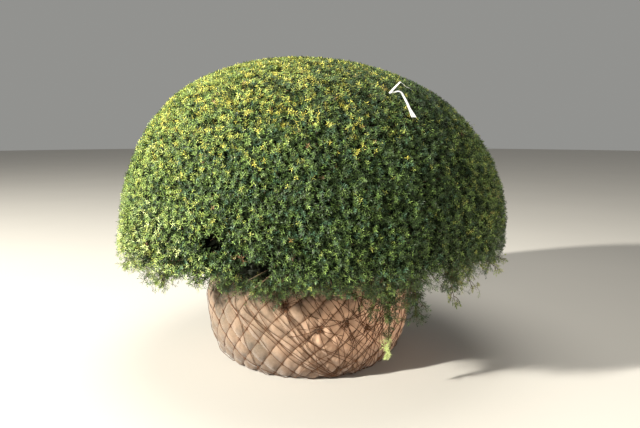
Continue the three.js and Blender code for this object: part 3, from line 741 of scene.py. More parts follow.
def makeTies():
    # Crossings lie where both counts are whole; their place is found as the strands' is
    random = np.random.default_rng(seed + 31)
    lattice = np.meshgrid(np.arange(ball["columns"]), np.arange(1, 10), indexing="ij")
    column, row = (part.ravel() for part in lattice)
    half = (row % 2) / 2
    azimuth = 2 * np.pi * (column + half) / ball["columns"]
    arcs = row * ball["cellHeight"] / 2
    for _ in range(12):
        across, up = netWarp(azimuth, arcs)
        azimuth = 2 * np.pi * (column + half - across) / ball["columns"]
        arcs = (row / 2 - up) * ball["cellHeight"]
    kept = (arcs > 0.03) & (arcs < 0.72)
    azimuth, arcs = azimuth[kept], arcs[kept]
    slant = random.choice([-1, 1], len(azimuth)) * random.uniform(0.7, 1.2, len(azimuth))
    shapes = [twists(azimuth, arcs, netWire["tieTurns"], netWire["tieLength"], netWire["tieRadius"],
                     netWire["tieWire"], slant)]
    for degrees, height, strength in bunches:
        middle, arc = np.radians(degrees), float(arcOfHeight(height))
        knots, count = netWire["knots"], netWire["bunchStrands"]
        spots, levels = middle + random.normal(0, 0.018, knots), arc + random.normal(0, 0.009, knots)
        shapes.append(twists(spots, levels, 2.0, netWire["knotLength"], netWire["knotRadius"],
                             netWire["knotWire"], random.uniform(0, np.pi, knots)))
        # Strands run out from the bunch over the cloth
        heading = np.linspace(0, 2 * np.pi, count, endpoint=False) + random.uniform(-0.3, 0.3, count)
        reach = strength * random.uniform(0.09, 0.2, count)
        share = np.linspace(0, 1, 16)
        azimuths = middle + (reach * np.cos(heading))[:, None] * share / ball["meanRadius"]
        rises = np.clip(arc + (reach * np.sin(heading))[:, None] * share, 0.02, 0.74)
        shapes.append(tubes(wireOnCloth(azimuths, rises, netWire["proud"] + 0.001), netWire["radius"], 5))
    return joinedLists(shapes)


rustedWire = speckledMaterial("rusted wire", {"Metallic": 0.35, "Specular IOR Level": 0.3}, rust)
addPiece("net_wires", makeNet(), rustedWire, ["wire_net"])
addPiece("net_ties", makeTies(), rustedWire, ["wire_net"])
print("net made")


# Soil: the CAD solid inside the cloth gets an earth finish
earth = {"scale": 60.0, "detail": 6.0, "spread": (0.3, 0.7), "roughness": (0.85, 1.0),
         "colours": ((0.045, 0.028, 0.018), (0.12, 0.075, 0.045)), "bump": (0.8, 0.004)}
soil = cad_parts["root_ball_soil"]
soil.data.materials.clear()
soil.data.materials.append(speckledMaterial("soil", {"Specular IOR Level": 0.15}, earth))


# Crown: a superellipse profile whose middle bows to the right and ends leaning to the left
crown = {
    "radius": 1.190,
    "widestZ": 0.760,
    "rise": 1.100,
    "power": 2.18,
    "rimZ": 0.735,
    "centreX": 0.022,
    "lean": -0.070,
    "bow": 0.168,
}

sweep = np.sin(np.linspace(0, np.pi / 2, 121)) ** 1.1
crownHeights = blendOf(crown["rimZ"], crown["widestZ"] + crown["rise"], sweep)
crownShares = np.minimum(np.abs(crownHeights - crown["widestZ"]) / crown["rise"], 1)
crownProfile = turnedProfile(
    crown["radius"] * (1 - crownShares ** crown["power"]) ** (1 / crown["power"]), crownHeights)
crownLength = crownProfile["arcs"][-1]
areaBelow = np.concatenate([[0], np.cumsum(
    np.diff(crownProfile["arcs"]) * (crownProfile["radii"][1:] + crownProfile["radii"][:-1]) / 2)])


def crownPoint(arc, azimuth, out):
    # A point of the outline moved out along its normal, round the axis that bows and leans
    radius, height, outRadius, outHeight = profileAt(crownProfile, arc)
    radius, z = radius + outRadius * out, height + outHeight * out
    share = np.maximum(0, z - crown["widestZ"]) / crown["rise"]
    axisX = crown["centreX"] + crown["lean"] * share + crown["bow"] * share * (1 - share)
    return polar(azimuth, radius, z, axisX)


def arcAtAreaShare(share):
    # Arc length under which a share of the dome's area lies
    return np.interp(share, areaBelow / areaBelow[-1], crownProfile["arcs"])


def spiral(count, last=1.0):
    # Golden-angle spiral over the dome, evenly by area: arc lengths and azimuths
    index = np.arange(count)
    return arcAtAreaShare(last * ((index + 0.5) / count)), index * goldenAngle


# Trunk and main boughs, from the same sizes as the CAD solids
trunk = {
    "footZ": 0.6084,
    "tipZ": 0.980,
    "levels": [0, 0.12, 0.35, 0.7, 1],
    "radii": [0.104, 0.091, 0.078, 0.064, 0.050],
    "lobes": [0.007, 0.005, 0.003, 0.001, 0],
    "lean": 0.016,
    "flareLobes": 5,
    "bark": 0.0032,
    "rows": 84,
    "columns": 120,
}
bough = {
    "count": 8,
    "radius": (0.033, 0.015),  # root to tip
    "firstZ": 0.786,
    "lastZ": 0.940,
    "endDepth": 0.227,
    "firstAzimuth": 0.5,
    "areaShares": (0.22, 0.93),
    "inset": 0.012,
    "sag": 0.060,
    "lowRadius": (0.019, 0.009),
    "lowZ": [0.764, 0.724, 0.684],
    "lowInset": 0.020,
    "lowArch": 0.034,
    "steps": 40,
    "bark": 0.0016,
}
# Hanging masses: azimuth in degrees; root, middle and tip as (distance from the axis, height);
# how far side twigs reach; how they grow
massKeys = ("azimuth", "root", "mid", "tip", "reach", "plan")
hangingRows = {
    "front_right": (-59, (0.735, 0.700), (0.850, 0.600), (0.850, 0.240), 0.082, "hanging"),
    "right_front": (-50, (0.760, 0.702), (0.875, 0.620), (0.925, 0.415), 0.078, "hanging"),
    "right_near": (-31, (0.790, 0.705), (0.920, 0.635), (0.980, 0.460), 0.090, "lacy"),
    "right_middle": (-17, (0.800, 0.705), (0.950, 0.640), (1.040, 0.475), 0.088, "lacy"),
    "right_far": (-2, (0.810, 0.705), (0.985, 0.655), (1.145, 0.525), 0.085, "lacy"),
    "left": (-146, (0.800, 0.702), (0.895, 0.672), (0.970, 0.600), 0.078, "hanging"),
}
hanging = {place: dict(zip(massKeys, row)) for place, row in hangingRows.items()}
hanging["front_right"].update(taper=0.9, lastShare=0.74, tipPaths=12)


def makeTrunk():
    # Rings up the trunk with the flare's lobes, shallow flutes and flaking bark
    rows, columns = trunk["rows"], trunk["columns"]
    share = np.linspace(0, 1, rows)[:, None]
    turn = 2 * np.pi * np.arange(columns)[None, :] / columns
    radius = np.interp(share, trunk["levels"], trunk["radii"])
    radius = radius + np.interp(share, trunk["levels"], trunk["lobes"]) * np.cos(trunk["flareLobes"] * turn)
    height = blendOf(trunk["footZ"], trunk["tipZ"], share)
    skin = polar(turn, radius, height)
    flutes = 0.5 * np.abs(waveNoise(skin * [1, 1, 0.2], 0.075, 41))
    flakes = np.maximum(waveNoise(skin * [1, 1, 0.4], 0.022, 42), 0)
    rings = polar(turn, radius + trunk["bark"] * (flakes - flutes), height, -trunk["lean"] * share)
    ends = [[0, 0, trunk["footZ"]], [-trunk["lean"], 0, trunk["tipZ"]]]
    return np.concatenate([rings.reshape(-1, 3), ends]), closedTriangles(rows, columns)


def risingBoughs():
    # Each leaves the trunk on the golden angle, sags at its middle and ends inside the crown
    index = np.arange(bough["count"])
    share = (index + 0.5) / bough["count"]
    azimuth = bough["firstAzimuth"] + index * goldenAngle
    rootZ = blendOf(bough["firstZ"], bough["lastZ"], share)
    end = crownPoint(arcAtAreaShare(blendOf(*bough["areaShares"], share)), azimuth, -bough["endDepth"])
    root = polar(azimuth, bough["inset"], rootZ, -trunk["lean"] * share)
    sag = bough["sag"] * (1 - share)
    bend = (root + end) / 2 - polar(azimuth, sag, sag)
    bend[:, 2] += bough["sag"] * 0.5
    return curveThrough(root, bend, end, bough["steps"])


def lowBoughs():
    # Each arches over from the foot of the trunk to the root of its hanging mass
    paths = []
    for index, mass in enumerate(hanging.values()):
        azimuth, (radius, z) = np.radians(mass["azimuth"]), mass["root"]
        root = polar(azimuth, bough["lowInset"], bough["lowZ"][index % 3])
        middle = polar(azimuth, radius * 0.5, z + bough["lowArch"])
        paths.append(curveThrough(root, middle, polar(azimuth, radius, z), bough["steps"]))
    return np.array(paths)


boughPaths, lowBoughPaths = risingBoughs(), lowBoughs()
boughTaper = np.linspace(0, 1, bough["steps"])
boughBark = barkMaterial("yew bark", (0.235, 0.125, 0.075), (0.085, 0.048, 0.032), 30.0, 0.004)
twigBark = barkMaterial("twig bark", (0.13, 0.082, 0.042), (0.065, 0.046, 0.026), 120.0, 0.001)
youngBark = barkMaterial("young bark", (0.060, 0.085, 0.028), (0.040, 0.045, 0.018), 200.0, 0.0005)
boughShape = tubes(boughPaths, blendOf(*bough["radius"], boughTaper), 18, bough["bark"], 0.018)
lowBoughShape = tubes(lowBoughPaths, blendOf(*bough["lowRadius"], boughTaper), 14, bough["bark"] * 0.7, 0.014)
addPiece("trunk_bark", makeTrunk(), boughBark, ["trunk"])
boughNodes = [f"bough_{index + 1}" for index in range(bough["count"])]
lowBoughNodes = [f"low_bough_{place}" for place in hanging]
addPiece("boughs_bark", boughShape, boughBark, boughNodes)
addPiece("low_boughs_bark", lowBoughShape, boughBark, lowBoughNodes)
print("trunk and boughs made")


# Foliage: the boughs' own rule carried on to limbs, branches, twigs and shoots
growth = {
    "limbs": {"count": 72, "depth": 0.225, "radius": (0.012, 0.0065), "sides": 6, "steps": 8},
    "branches": {"count": 480, "depth": 0.150, "radius": (0.0062, 0.0036), "sides": 4, "steps": 6},
    "twigs": {"count": 3400, "depth": 0.052, "radius": (0.0034, 0.0019), "sides": 3, "steps": 4},
    "shoots": {"count": 44000, "needles": 6, "needle": 0.0165, "width": 0.0036, "leafy": 0.012,
               "opening": (85, 48)},
    "under": {"count": 12000, "needles": 7, "needle": 0.0175, "width": 0.0056, "leafy": 0.016,
              "opening": (84, 50), "depth": (0.030, 0.056)},
    "inner": {"count": 7500, "needles": 6, "needle": 0.034, "width": 0.0140, "leafy": 0.060,
              "opening": (76, 34), "depth": (0.060, 0.108)},
    "shaded": {"count": 17000, "length": 0.120, "halfWidth": 0.040, "depth": (0.130, 0.225)},
    "deepest": {"count": 12000, "length": 0.130, "halfWidth": 0.042, "depth": (0.190, 0.262), "below": 0.42},
    "slant": 0.018,  # the run between a shoot's root and tip over the dome
    "rise": 0.55,
    "riseSpread": 0.45,
    "sideSpread": 1.2,
    "topRadius": 0.22,
    "depthSpread": 0.02,
    "pull": 0.45,  # share of the way that a limb keeps its parent's direction
    "flattened": (82, 0.45),  # degrees that needles of upright shoots open to, and how far they do
    "lean": 0.7,  # random lean of the sprays
    "underRim": 0.03,  # most that a spray starts under the rim
    "stemRadius": 0.0012,
    "stemEvery": 4,
}
# Gaps where no shoot reaches the outline: azimuth in degrees, height, half width, half height
gaps = [(-112.0, 0.903, 0.066, 0.044), (-100.8, 0.782, 0.084, 0.050), (-121.0, 0.800, 0.040, 0.026),
        (-60.0, 1.16, 0.020, 0.016), (60.0, 0.86, 0.05, 0.03), (150.0, 0.95, 0.045, 0.025)]
deadPatch = (-104.1, 0.847, 0.034, 0.018)


def nearest(points, choices):
    # The number of the nearest choice for every point, a few thousand points at a time
    found = []
    for part in np.array_split(points, max(1, len(points) // 2000)):
        apart = (choices ** 2).sum(-1)[None, :] - 2 * part @ choices.T
        found.append(apart.argmin(axis=1))
    return np.concatenate(found)


def spotOn(paths, share):
    # Place and direction at a share of each path, between its two nearest points
    steps = paths.shape[1]
    spot = share * (steps - 1)
    low = np.minimum(spot.astype(int), steps - 2)
    rows = np.arange(len(share))
    here, ahead = paths[rows, low], paths[rows, low + 1]
    return blendOf(here, ahead, (spot - low)[:, None]), unit(ahead - here)


def leaveParent(random, targets, parents, lowShare, highShare):
    # Each target's place and direction of leaving on the parent whose end is nearest
    chosen = parents[nearest(targets, parents[:, -1])]
    return spotOn(chosen, random.uniform(lowShare, highShare, len(targets)))


def inPatch(points, patch):
    # 1 in the middle of a patch on the dome, 0 at its edge and beyond
    azimuth, z, halfWidth, halfHeight = patch
    turn = np.arctan2(points[:, 1], points[:, 0]) - np.radians(azimuth)
    right = 1.1 * ((turn + np.pi) % (2 * np.pi) - np.pi)
    return np.maximum(0, 1 - (right / halfWidth) ** 2 - ((points[:, 2] - z) / halfHeight) ** 2)


def inGaps(points):
    # How far inside its nearest gap each point lies, 1 in the middle
    return np.max([inPatch(points, gap) for gap in gaps], axis=0)


def turnOf(sideRun, arc):
    # The azimuth that a sideways run takes up, as if the dome were never narrower than topRadius
    return sideRun / np.maximum(growth["topRadius"], profileAt(crownProfile, arc)[0])


def reachOut(root, along, targets, pull, steps, rise=0.0):
    # Keeps its parent's direction for a share of the way, then bends to its target
    reach = np.linalg.norm(targets - root, axis=-1, keepdims=True)
    return curveTowards(root, root + along * reach * pull + [0, 0, rise], targets, steps)


def growOn(random, level, parents, lowShare, highShare):
    # A level's limbs end on the spiral at their depth and leave their parents along them
    arc, azimuth = spiral(level["count"])
    upRun = growth["slant"] * random.uniform(-1, 1, len(arc))
    sideRun = growth["slant"] * random.uniform(-1, 1, len(arc))
    depth = level["depth"] + growth["depthSpread"] * random.uniform(-1, 1, len(arc))
    targets = crownPoint(np.clip(arc + upRun, 0.02, crownLength), azimuth + turnOf(sideRun, arc), -depth)
    root, along = leaveParent(random, targets, parents, lowShare, highShare)
    paths = reachOut(root, along, targets, growth["pull"], level["steps"])
    return paths[inGaps(crownPoint(arc, azimuth, 0.0)) <= 0]


clipping = {
    "clump": (0.13, 0.010),  # size and depth
    "pit": (0.050, 0.040),
    "unevenness": 0.030,
    "proud": 0.005,
    "topSunk": 0.014,
    "lowRougher": 0.9,  # more roughness low down, and less on top
    "topSmoother": 0.75,
    "strayShare": 0.005,
    "strayLength": 0.028,
}


def outlineNoise(points):
    # Clumps: how far the clipped surface lies under the outline, in metres
    (clumpSize, clumpDepth), (pitSize, pitDepth) = clipping["clump"], clipping["pit"]
    clumps = 0.5 + 0.5 * waveNoise(points, clumpSize, 51, 12)
    pits = np.maximum(0, waveNoise(points, pitSize, 52, 24) - 0.05)
    return clumpDepth * clumps + pitDepth * pits


def domeShoots(random, twigPaths):
    # Rooted on the twigs, running up the dome and a seeded way sideways to the outline
    arc, azimuth = spiral(growth["shoots"]["count"])
    centred = random.uniform(-1, 1, (4, len(arc)))
    upRun = growth["slant"] * (growth["rise"] + growth["riseSpread"] * centred[0])
    sideRun = growth["slant"] * growth["sideSpread"] * centred[1]
    arc, azimuth = np.clip(arc + upRun, 0, crownLength), azimuth + turnOf(sideRun, arc)
    skin = crownPoint(arc, azimuth, 0.0)
    # The top is clipped closest; low down the clipping is older and the surface looser
    x, z = skin[:, 0], skin[:, 2]
    low, high = smoothStep(0.8, 0.2, x), smoothStep(1.3, 1.75, z)
    rough = 1 + clipping["lowRougher"] * low * smoothStep(1.15, 0.85, z) - clipping["topSmoother"] * high
    sunk = outlineNoise(skin) + clipping["unevenness"] * centred[2] ** 2
    out = clipping["proud"] - clipping["topSunk"] * smoothStep(1.6, 1.8, z) - rough * sunk
    stray = (random.random(len(arc)) < clipping["strayShare"] * rough) & (z < 1.5)
    out = np.where(stray, out + clipping["strayLength"] * np.abs(centred[3]), out)
    tips = crownPoint(arc, azimuth, out)
    roots, _ = leaveParent(random, tips, twigPaths, 0.85, 1.0)
    kept = inGaps(skin) < 0.25 * random.random(len(arc)) + 0.02
    return roots[kept], tips[kept]


def innerShoots(random, level, parents, isOpen):
    # Darker layers that close the view between the outer shoots, open or not in the gaps. Their near-black
    # tints are painted shade.
    arc, azimuth = spiral(level["count"], level.get("below", 1.0))
    azimuth = azimuth + 9 * level["depth"][0]
    tips = crownPoint(arc, azimuth, -blendOf(*level["depth"], random.random(len(arc))))
    roots, _ = leaveParent(random, tips, parents, 0.2, 0.9)
    kept = (inGaps(crownPoint(arc, azimuth, 0.0)) < 0.1) | (not isOpen)
    return roots[kept], tips[kept]


# The skirt's lower edge: azimuth in degrees and height
skirtEdge = [(-180, 0.690), (-155, 0.680), (-146, 0.660), (-136, 0.700), (-127, 0.735), (-117, 0.695),
             (-108, 0.650), (-90, 0.655), (-72, 0.650), (-60, 0.630), (-54, 0.615), (-48, 0.610),
             (-45, 0.700), (-32, 0.705), (-16, 0.700), (0, 0.705), (20, 0.685), (45, 0.680),
             (90, 0.665), (135, 0.680), (180, 0.690)]
skirt = {"count": 4200, "twigs": 420, "depth": (0.03, 0.24), "longest": 0.11, "pull": 0.4, "rise": 0.02}


def skirtLow(azimuth):
    # The edge's height between its given azimuths, with two sine waves round it
    degrees = (np.degrees(azimuth) + 180) % 360 - 180
    even = np.interp(degrees, *zip(*skirtEdge))
    return even + 0.016 * np.sin(11 * azimuth + 0.4) + 0.011 * np.sin(23 * azimuth + 2.0)


def skirtTwigs(random, parents):
    # Twigs under the rim, a seeded way down and out
    count = skirt["twigs"]
    azimuth = np.arange(count) * goldenAngle
    depth = blendOf(*skirt["depth"], random.random(count))
    targets = crownPoint(np.zeros(count), azimuth, -depth)
    targets[:, 2] = blendOf(crown["rimZ"], skirtLow(azimuth), 0.5 * random.random(count)) + 0.012
    root, along = leaveParent(random, targets, parents, 0.35, 0.9)
    return reachOut(root, along, targets, skirt["pull"], growth["twigs"]["steps"], skirt["rise"])


def skirtShoots(random, twigPaths):
    # Shoots between the rim and the skirt's lower edge, none longer than a hand
    count = skirt["count"]
    azimuth = np.arange(count) * goldenAngle + 0.3
    inward = random.random(count)
    low = skirtLow(azimuth) + 0.05 * inward
    tips = crownPoint(np.full(count, 0.02), azimuth, -(skirt["depth"][1] * inward ** 1.3) - 0.004)
    tips[:, 2] = blendOf(crown["rimZ"] + 0.02, low, random.random(count) ** 0.7)
    roots, _ = leaveParent(random, tips, twigPaths, 0.3, 1.0)
    reach = tips - roots
    isLong = np.linalg.norm(reach, axis=-1, keepdims=True) > skirt["longest"]
    return np.where(isLong, tips - unit(reach) * skirt["longest"], roots), tips


def stems(roots, tips, radius):
    # A slim three-sided spike from root to tip, closed at its root
    along = unit(tips - roots)
    across = sideOf(along)
    out = around(across, np.cross(along, across), 3)
    points = np.concatenate([roots[:, None] + radius * out, tips[:, None]], axis=1)
    return joinedShapes(points, np.array([[0, 1, 3], [1, 2, 3], [2, 0, 3], [2, 1, 0]]))


def needles(random, roots, tips, sizes):
    # Needles leave the leafy end of a shoot on the golden angle, wide open at first and closing
    # towards its tip, wider on upright shoots, where the shears keep them flat. Each is two
    # folded triangles whose upper face looks to the shoot's tip.
    count, perShoot = len(roots), sizes["needles"]
    axis = unit(tips - roots)[:, None]
    leafy = np.minimum(np.linalg.norm(tips - roots, axis=-1), sizes["leafy"])[:, None, None]
    sideA = sideOf(axis)
    sideB = np.cross(axis, sideA)
    index = np.arange(perShoot)
    share = ((index + 0.7) / perShoot) ** 0.85
    turn = index * goldenAngle + random.uniform(0, 2 * np.pi, (count, 1))
    opening = blendOf(*sizes["opening"], share) + random.uniform(-20, 20, (count, perShoot))
    flatOpening, flatShare = growth["flattened"]
    upright = smoothStep(0.45, 0.95, axis[..., 2])
    opening = np.radians(blendOf(opening, flatOpening, flatShare * upright))[..., None]
    radial = sideA * np.cos(turn)[..., None] + sideB * np.sin(turn)[..., None]
    direction = axis * np.cos(opening) + radial * np.sin(opening)
    across = unit(np.cross(direction, axis))
    face = np.cross(across, direction)
    size = sizes["needle"] * random.uniform(0.75, 1.15, (count, perShoot, 1))
    base = tips[:, None] - axis * leafy * (1 - share)[:, None]
    half, fold = 0.5 * sizes["width"] * across, 0.14 * sizes["width"] * face
    middle = base + direction * size * 0.45
    end = base + direction * size - face * size * 0.10
    points = np.stack([base, middle + half - fold, end, middle - half - fold], axis=2).reshape(-1, 4, 3)
    return joinedShapes(points, np.array([[0, 1, 2], [0, 2, 3]]))


def sprays(random, roots, tips, sizes):
    # A flat spray of shaded needles: three forward teeth on each side of a spine, folded a little.
    # Each leans a random way, or all would be seen edge-on from the same side.
    axis = unit(tips - roots) + growth["lean"] * random.normal(size=tips.shape)
    along = unit(axis) * sizes["length"]
    along[:, 2] = np.minimum(along[:, 2], tips[:, 2] - crown["rimZ"] + growth["underRim"])
    facing = unit(random.normal(size=axis.shape))
    across = unit(np.cross(along, facing)) * sizes["halfWidth"]
    through = unit(np.cross(along, across)) * sizes["halfWidth"] * 0.3
    start = tips - along
    outline = np.array([[0, 0], [0.36, 0], [0.66, 0], [1, 0], [0.40, 0.62], [0.72, 0.9], [0.96, 0.5]])
    spots = np.concatenate([outline, outline[4:] * [1, -1]])
    points = (start[:, None] + along[:, None] * spots[:, :1] + across[:, None] * spots[:, 1:]
              + through[:, None] * np.abs(spots[:, 1:]))
    return joinedShapes(points, np.array([[0, 1, 4], [1, 2, 5], [2, 3, 6], [1, 0, 7], [2, 1, 8], [3, 2, 9]]))


# Spray colours, dealt out by where a spray sits
tints = {
    "bronze": (0.31, 0.20, 0.064),
    "gold": (0.53, 0.485, 0.082),
    "olive": (0.335, 0.360, 0.078),
    "lime": (0.315, 0.395, 0.088),
    "fresh": (0.190, 0.285, 0.068),
    "mid": (0.104, 0.172, 0.038),
    "deep": (0.034, 0.064, 0.016),
    "blue_green": (0.050, 0.112, 0.056),
    "dead": (0.17, 0.085, 0.04),
    "pale_tip": (0.60, 0.70, 0.28),
    # inner and shaded are near black: painted shade for the needles and sprays deep in the crown
    "inner": (0.020, 0.034, 0.013),
    "shaded": (0.014, 0.019, 0.008),
}
tintNames = list(tints)


def tintWeights(points):
    # Lime and gold towards the upper left, bronze flecks over the top, fresh green on the right
    # flank and low in the middle, deep green away from the light, in slow patches. Besides the
    # yew's own golden growth on top this paints light and shade: bright tints where the key light
    # falls, deep green away from it, pale tips low on the left as painted highlights and fresh
    # green on the shaded right flank as painted fill light
    x = points[:, 0] / crown["radius"]
    height = (points[:, 2] - crown["widestZ"]) / crown["rise"]
    # lit: how squarely a spray faces the key light; the tints that follow it are painted light and shade
    lit = np.clip(0.5 - 0.62 * x + 0.35 * (height - 0.4) - 0.12 * points[:, 1] / crown["radius"], 0, 1)
    patch = 0.5 + 0.5 * waveNoise(points, 0.34, 61, 9)
    small = 0.5 + 0.5 * waveNoise(points, 0.11, 62, 9)
    top = smoothStep(0.36, 0.92, height) * (0.08 + 0.92 * smoothStep(0.5, -0.35, x - 0.25 * height))
    sunny = smoothStep(0.54, 1.12, lit)
    # lowLeft: pale tips low on the left, painted highlights where the key light grazes
    lowLeft = smoothStep(0.35, 0.0, height) * smoothStep(-0.25, -0.8, x)
    # flank: lighter greens on the right, which the key light misses, as painted fill light
    flank = smoothStep(0.55, 0.85, x) * smoothStep(0.0, 0.3, height)
    lowMiddle = smoothStep(0.45, 0.05, height) * smoothStep(0.55, 0.15, x)
    weights = {
        "bronze": 0.004 + 0.06 * top * small ** 2,
        "gold": (0.001 + 0.66 * top + 0.02 * sunny) * (0.3 + 1.2 * small) * (0.15 + lit),
        "olive": 0.018 + 0.52 * small * top + 0.20 * sunny + 0.60 * flank + 0.22 * lowLeft,
        "lime": 0.006 + 0.72 * sunny ** 1.6 * (0.6 + 0.8 * patch) + 0.36 * top,
        "fresh": 0.04 + 0.80 * sunny + 1.60 * flank + 0.21 * lowMiddle,
        "mid": 0.52 - 0.14 * sunny,
        "deep": 0.36 + 1.60 * (1 - lit) ** 1.3 * (1.3 - 0.6 * patch) * (1 - 0.5 * flank),
        "blue_green": (0.12 + 0.22 * (1 - patch) * (1 - top)) * (1 - 0.7 * sunny),
        "dead": 0.002,
        "pale_tip": 0.66 * lowLeft,
    }
    return np.stack([weights.get(tint, 0) + 0 * x for tint in tintNames], axis=-1)


def dealTints(random, points):
    # Neighbours mostly share a tint: a slow field and a random part pick from the local shares
    weights = np.maximum(tintWeights(points), 0)
    weights[inPatch(points, deadPatch) > 0, tintNames.index("dead")] = 30.0
    shares = np.cumsum(weights, axis=1) / weights.sum(axis=1, keepdims=True)
    field = waveNoise(points, 0.075, 63, 14) + 0.66 * random.normal(size=len(points))
    pick = (np.argsort(np.argsort(field)) + 0.5) / len(points)
    return (pick[:, None] > shares).sum(axis=1)


def anyOf(random, names, count, shares=None):
    # A random tint from the named ones, by their shares
    return random.choice([tintNames.index(name) for name in names], count, p=shares)


def needlePieces(random, name, shootRoots, shootTips, tintOf, nodes, sizes):
    # One piece or more for each colour, each under the limit on triangles
    for index, tint in enumerate(tintNames):
        mine = np.flatnonzero(tintOf == index)
        pieces = int(np.ceil(len(mine) * sizes["needles"] * 2 / 190000))
        for number, part in enumerate(np.array_split(mine, pieces) if pieces else []):
            shape = needles(random, shootRoots[part], shootTips[part], sizes)
            label = f"{name}_{tint}" + (f"_{number + 1}" if pieces > 1 else "")
            addPiece(label, shape, needleMaterials[tint], nodes, smooth=False)


# Loose growth: side twigs turn by the golden angle, each with finer twigs and drooping shoots
loose = {
    "hanging": {"sideTwigs": 17, "subTwigs": 3, "shootsPerTwig": 5, "stem": (0.0065, 0.0020), "sides": 6},
    "lacy": {"sideTwigs": 11, "subTwigs": 2, "shootsPerTwig": 2, "stem": (0.0050, 0.0014), "sides": 6},
    "fringe": {"sideTwigs": 6, "subTwigs": 2, "shootsPerTwig": 3, "stem": (0.0026, 0.0011), "sides": 3},
    "stemSteps": 24,
    "tipFrom": 17,  # the stem's end that may carry extra shoots starts at this point
    "firstShare": 0.22,
    "lastShare": 0.94,
    "droop": 0.5,
    "sideRadius": (0.0022, 0.0010),
    "fineRadius": (0.0012, 0.0007),
    "shootRadius": 0.0007,
    "bareShare": 0.35,
    "leaves": {"needles": 12, "needle": 0.019, "width": 0.0032, "leafy": 0.040, "opening": (68, 28)},
    "fringeZ": 0.715,
    "fringeRadius": (0.88, 1.05),
    "shootLength": (0.020, 0.042),
}
# Fringe twigs under the rim: first and last azimuth, count, least and most drop, least and most run
fringe = [(-52, -30, 6, 0.06, 0.15, 0.04, 0.10), (-34, 10, 13, 0.02, 0.07, 0.09, 0.16),
          (-67, -50, 10, 0.10, 0.22, -0.14, -0.02), (-175, -150, 6, 0.02, 0.06, 0.04, 0.10),
          (-150, -142, 4, 0.07, 0.13, 0.02, 0.08), (-122, -66, 14, 0.02, 0.07, 0.00, 0.05),
          (-99, -82, 5, 0.06, 0.11, -0.03, 0.03), (20, 185, 24, 0.03, 0.10, 0.02, 0.09)]


def looseMass(random, mass):
    # A stem's parabola carries side twigs, they carry finer twigs, and all of them shoots
    plan = loose[mass["plan"]]
    azimuth = np.radians(mass["azimuth"])
    start, middle, end = (polar(azimuth, *mass[key]) for key in ("root", "mid", "tip"))
    steps = loose["stemSteps"]
    sway = 0.1 * mass["reach"] * np.sin(np.linspace(0, 7, steps))[:, None]
    stem = curveThrough(start, middle, end, steps) + sway * sideOf(unit(end - start)[None])
    count = plan["sideTwigs"]
    index = np.arange(count)
    share = blendOf(loose["firstShare"], mass.get("lastShare", loose["lastShare"]), index / (count - 1))
    root, along = spotOn(np.repeat(stem[None], count, axis=0), share)
    side = polar(index * goldenAngle + random.uniform(0, 6), 1.0, 0.1)
    heading = unit(along * 0.8 + side - [0, 0, loose["droop"]])
    length = mass["reach"] * (1.15 - mass.get("taper", 0.45) * share) * random.uniform(0.8, 1.15, count)
    tip = root + heading * length[:, None]
    twigPaths = curveTowards(root, (root + tip) / 2 + 0.18 * length[:, None] * (side + [0, 0, 0.8]), tip, 7)
    # Finer twigs leave each side twig, and all of them carry shoots
    parents = np.repeat(twigPaths, plan["subTwigs"], axis=0)
    fineRoot = parents[np.arange(len(parents)), random.integers(1, 6, len(parents))]
    fineHeading = unit(random.normal(size=(len(parents), 3)) * [1, 1, 0.5] - [0, 0, 0.7])
    fineLength = random.uniform(0.40, 0.85, len(parents)) * np.repeat(length, plan["subTwigs"])
    fineTip = fineRoot + fineHeading * fineLength[:, None]
    finePaths = curveTowards(fineRoot, (fineRoot + fineTip) / 2 + [0, 0, 0.006], fineTip, 7)
    tipPaths = np.repeat(stem[None, loose["tipFrom"]:], mass.get("tipPaths", 0), axis=0)
    carriers = np.concatenate([twigPaths, finePaths, stem[None, [8, 10, 12, 14, 17, 20, 23]], tipPaths])
    carriers = np.repeat(carriers, plan["shootsPerTwig"], axis=0)
    rows, pick = np.arange(len(carriers)), random.integers(2, 7, len(carriers))
    shootRoot = carriers[rows, pick]
    forward = unit(shootRoot - carriers[rows, pick - 1])
    turnTo = unit(forward + 0.9 * random.normal(size=(len(carriers), 3)) - [0, 0, 0.35])
    shootTip = shootRoot + turnTo * random.uniform(*loose["shootLength"], (len(carriers), 1))
    kept = random.random(len(carriers)) > loose["bareShare"]
    taper = np.linspace(0, 1, 4)
    wood = joinedLists([
        tubes(stem[None], blendOf(*plan["stem"], np.linspace(0, 1, steps)), plan["sides"]),
        tubes(twigPaths[:, ::2], blendOf(*loose["sideRadius"], taper), 4),
        tubes(finePaths[:, ::2], blendOf(*loose["fineRadius"], taper), 3),
        stems(shootRoot[kept], shootTip[kept], loose["shootRadius"]),
    ])
    return wood, shootRoot[kept], shootTip[kept]


def fringeMasses(random):
    # Short twigs under the rim, each a seeded way out and down
    masses, z = [], loose["fringeZ"]
    for first, last, count, lowDrop, highDrop, lowRun, highRun in fringe:
        azimuths = np.linspace(first, last, count) + random.uniform(-2, 2, count)
        radii = random.uniform(*loose["fringeRadius"], count)
        drops = random.uniform(lowDrop, highDrop, count)
        runs = random.uniform(lowRun, highRun, count)
        for azimuth, radius, drop, run in zip(azimuths, radii, drops, runs):
            route = (radius, z), (radius + 0.65 * run, z - 0.35 * drop), (radius + run, z - drop)
            masses.append(dict(zip(massKeys, (azimuth, *route, 0.025 + 0.25 * drop, "fringe"))))
    return masses


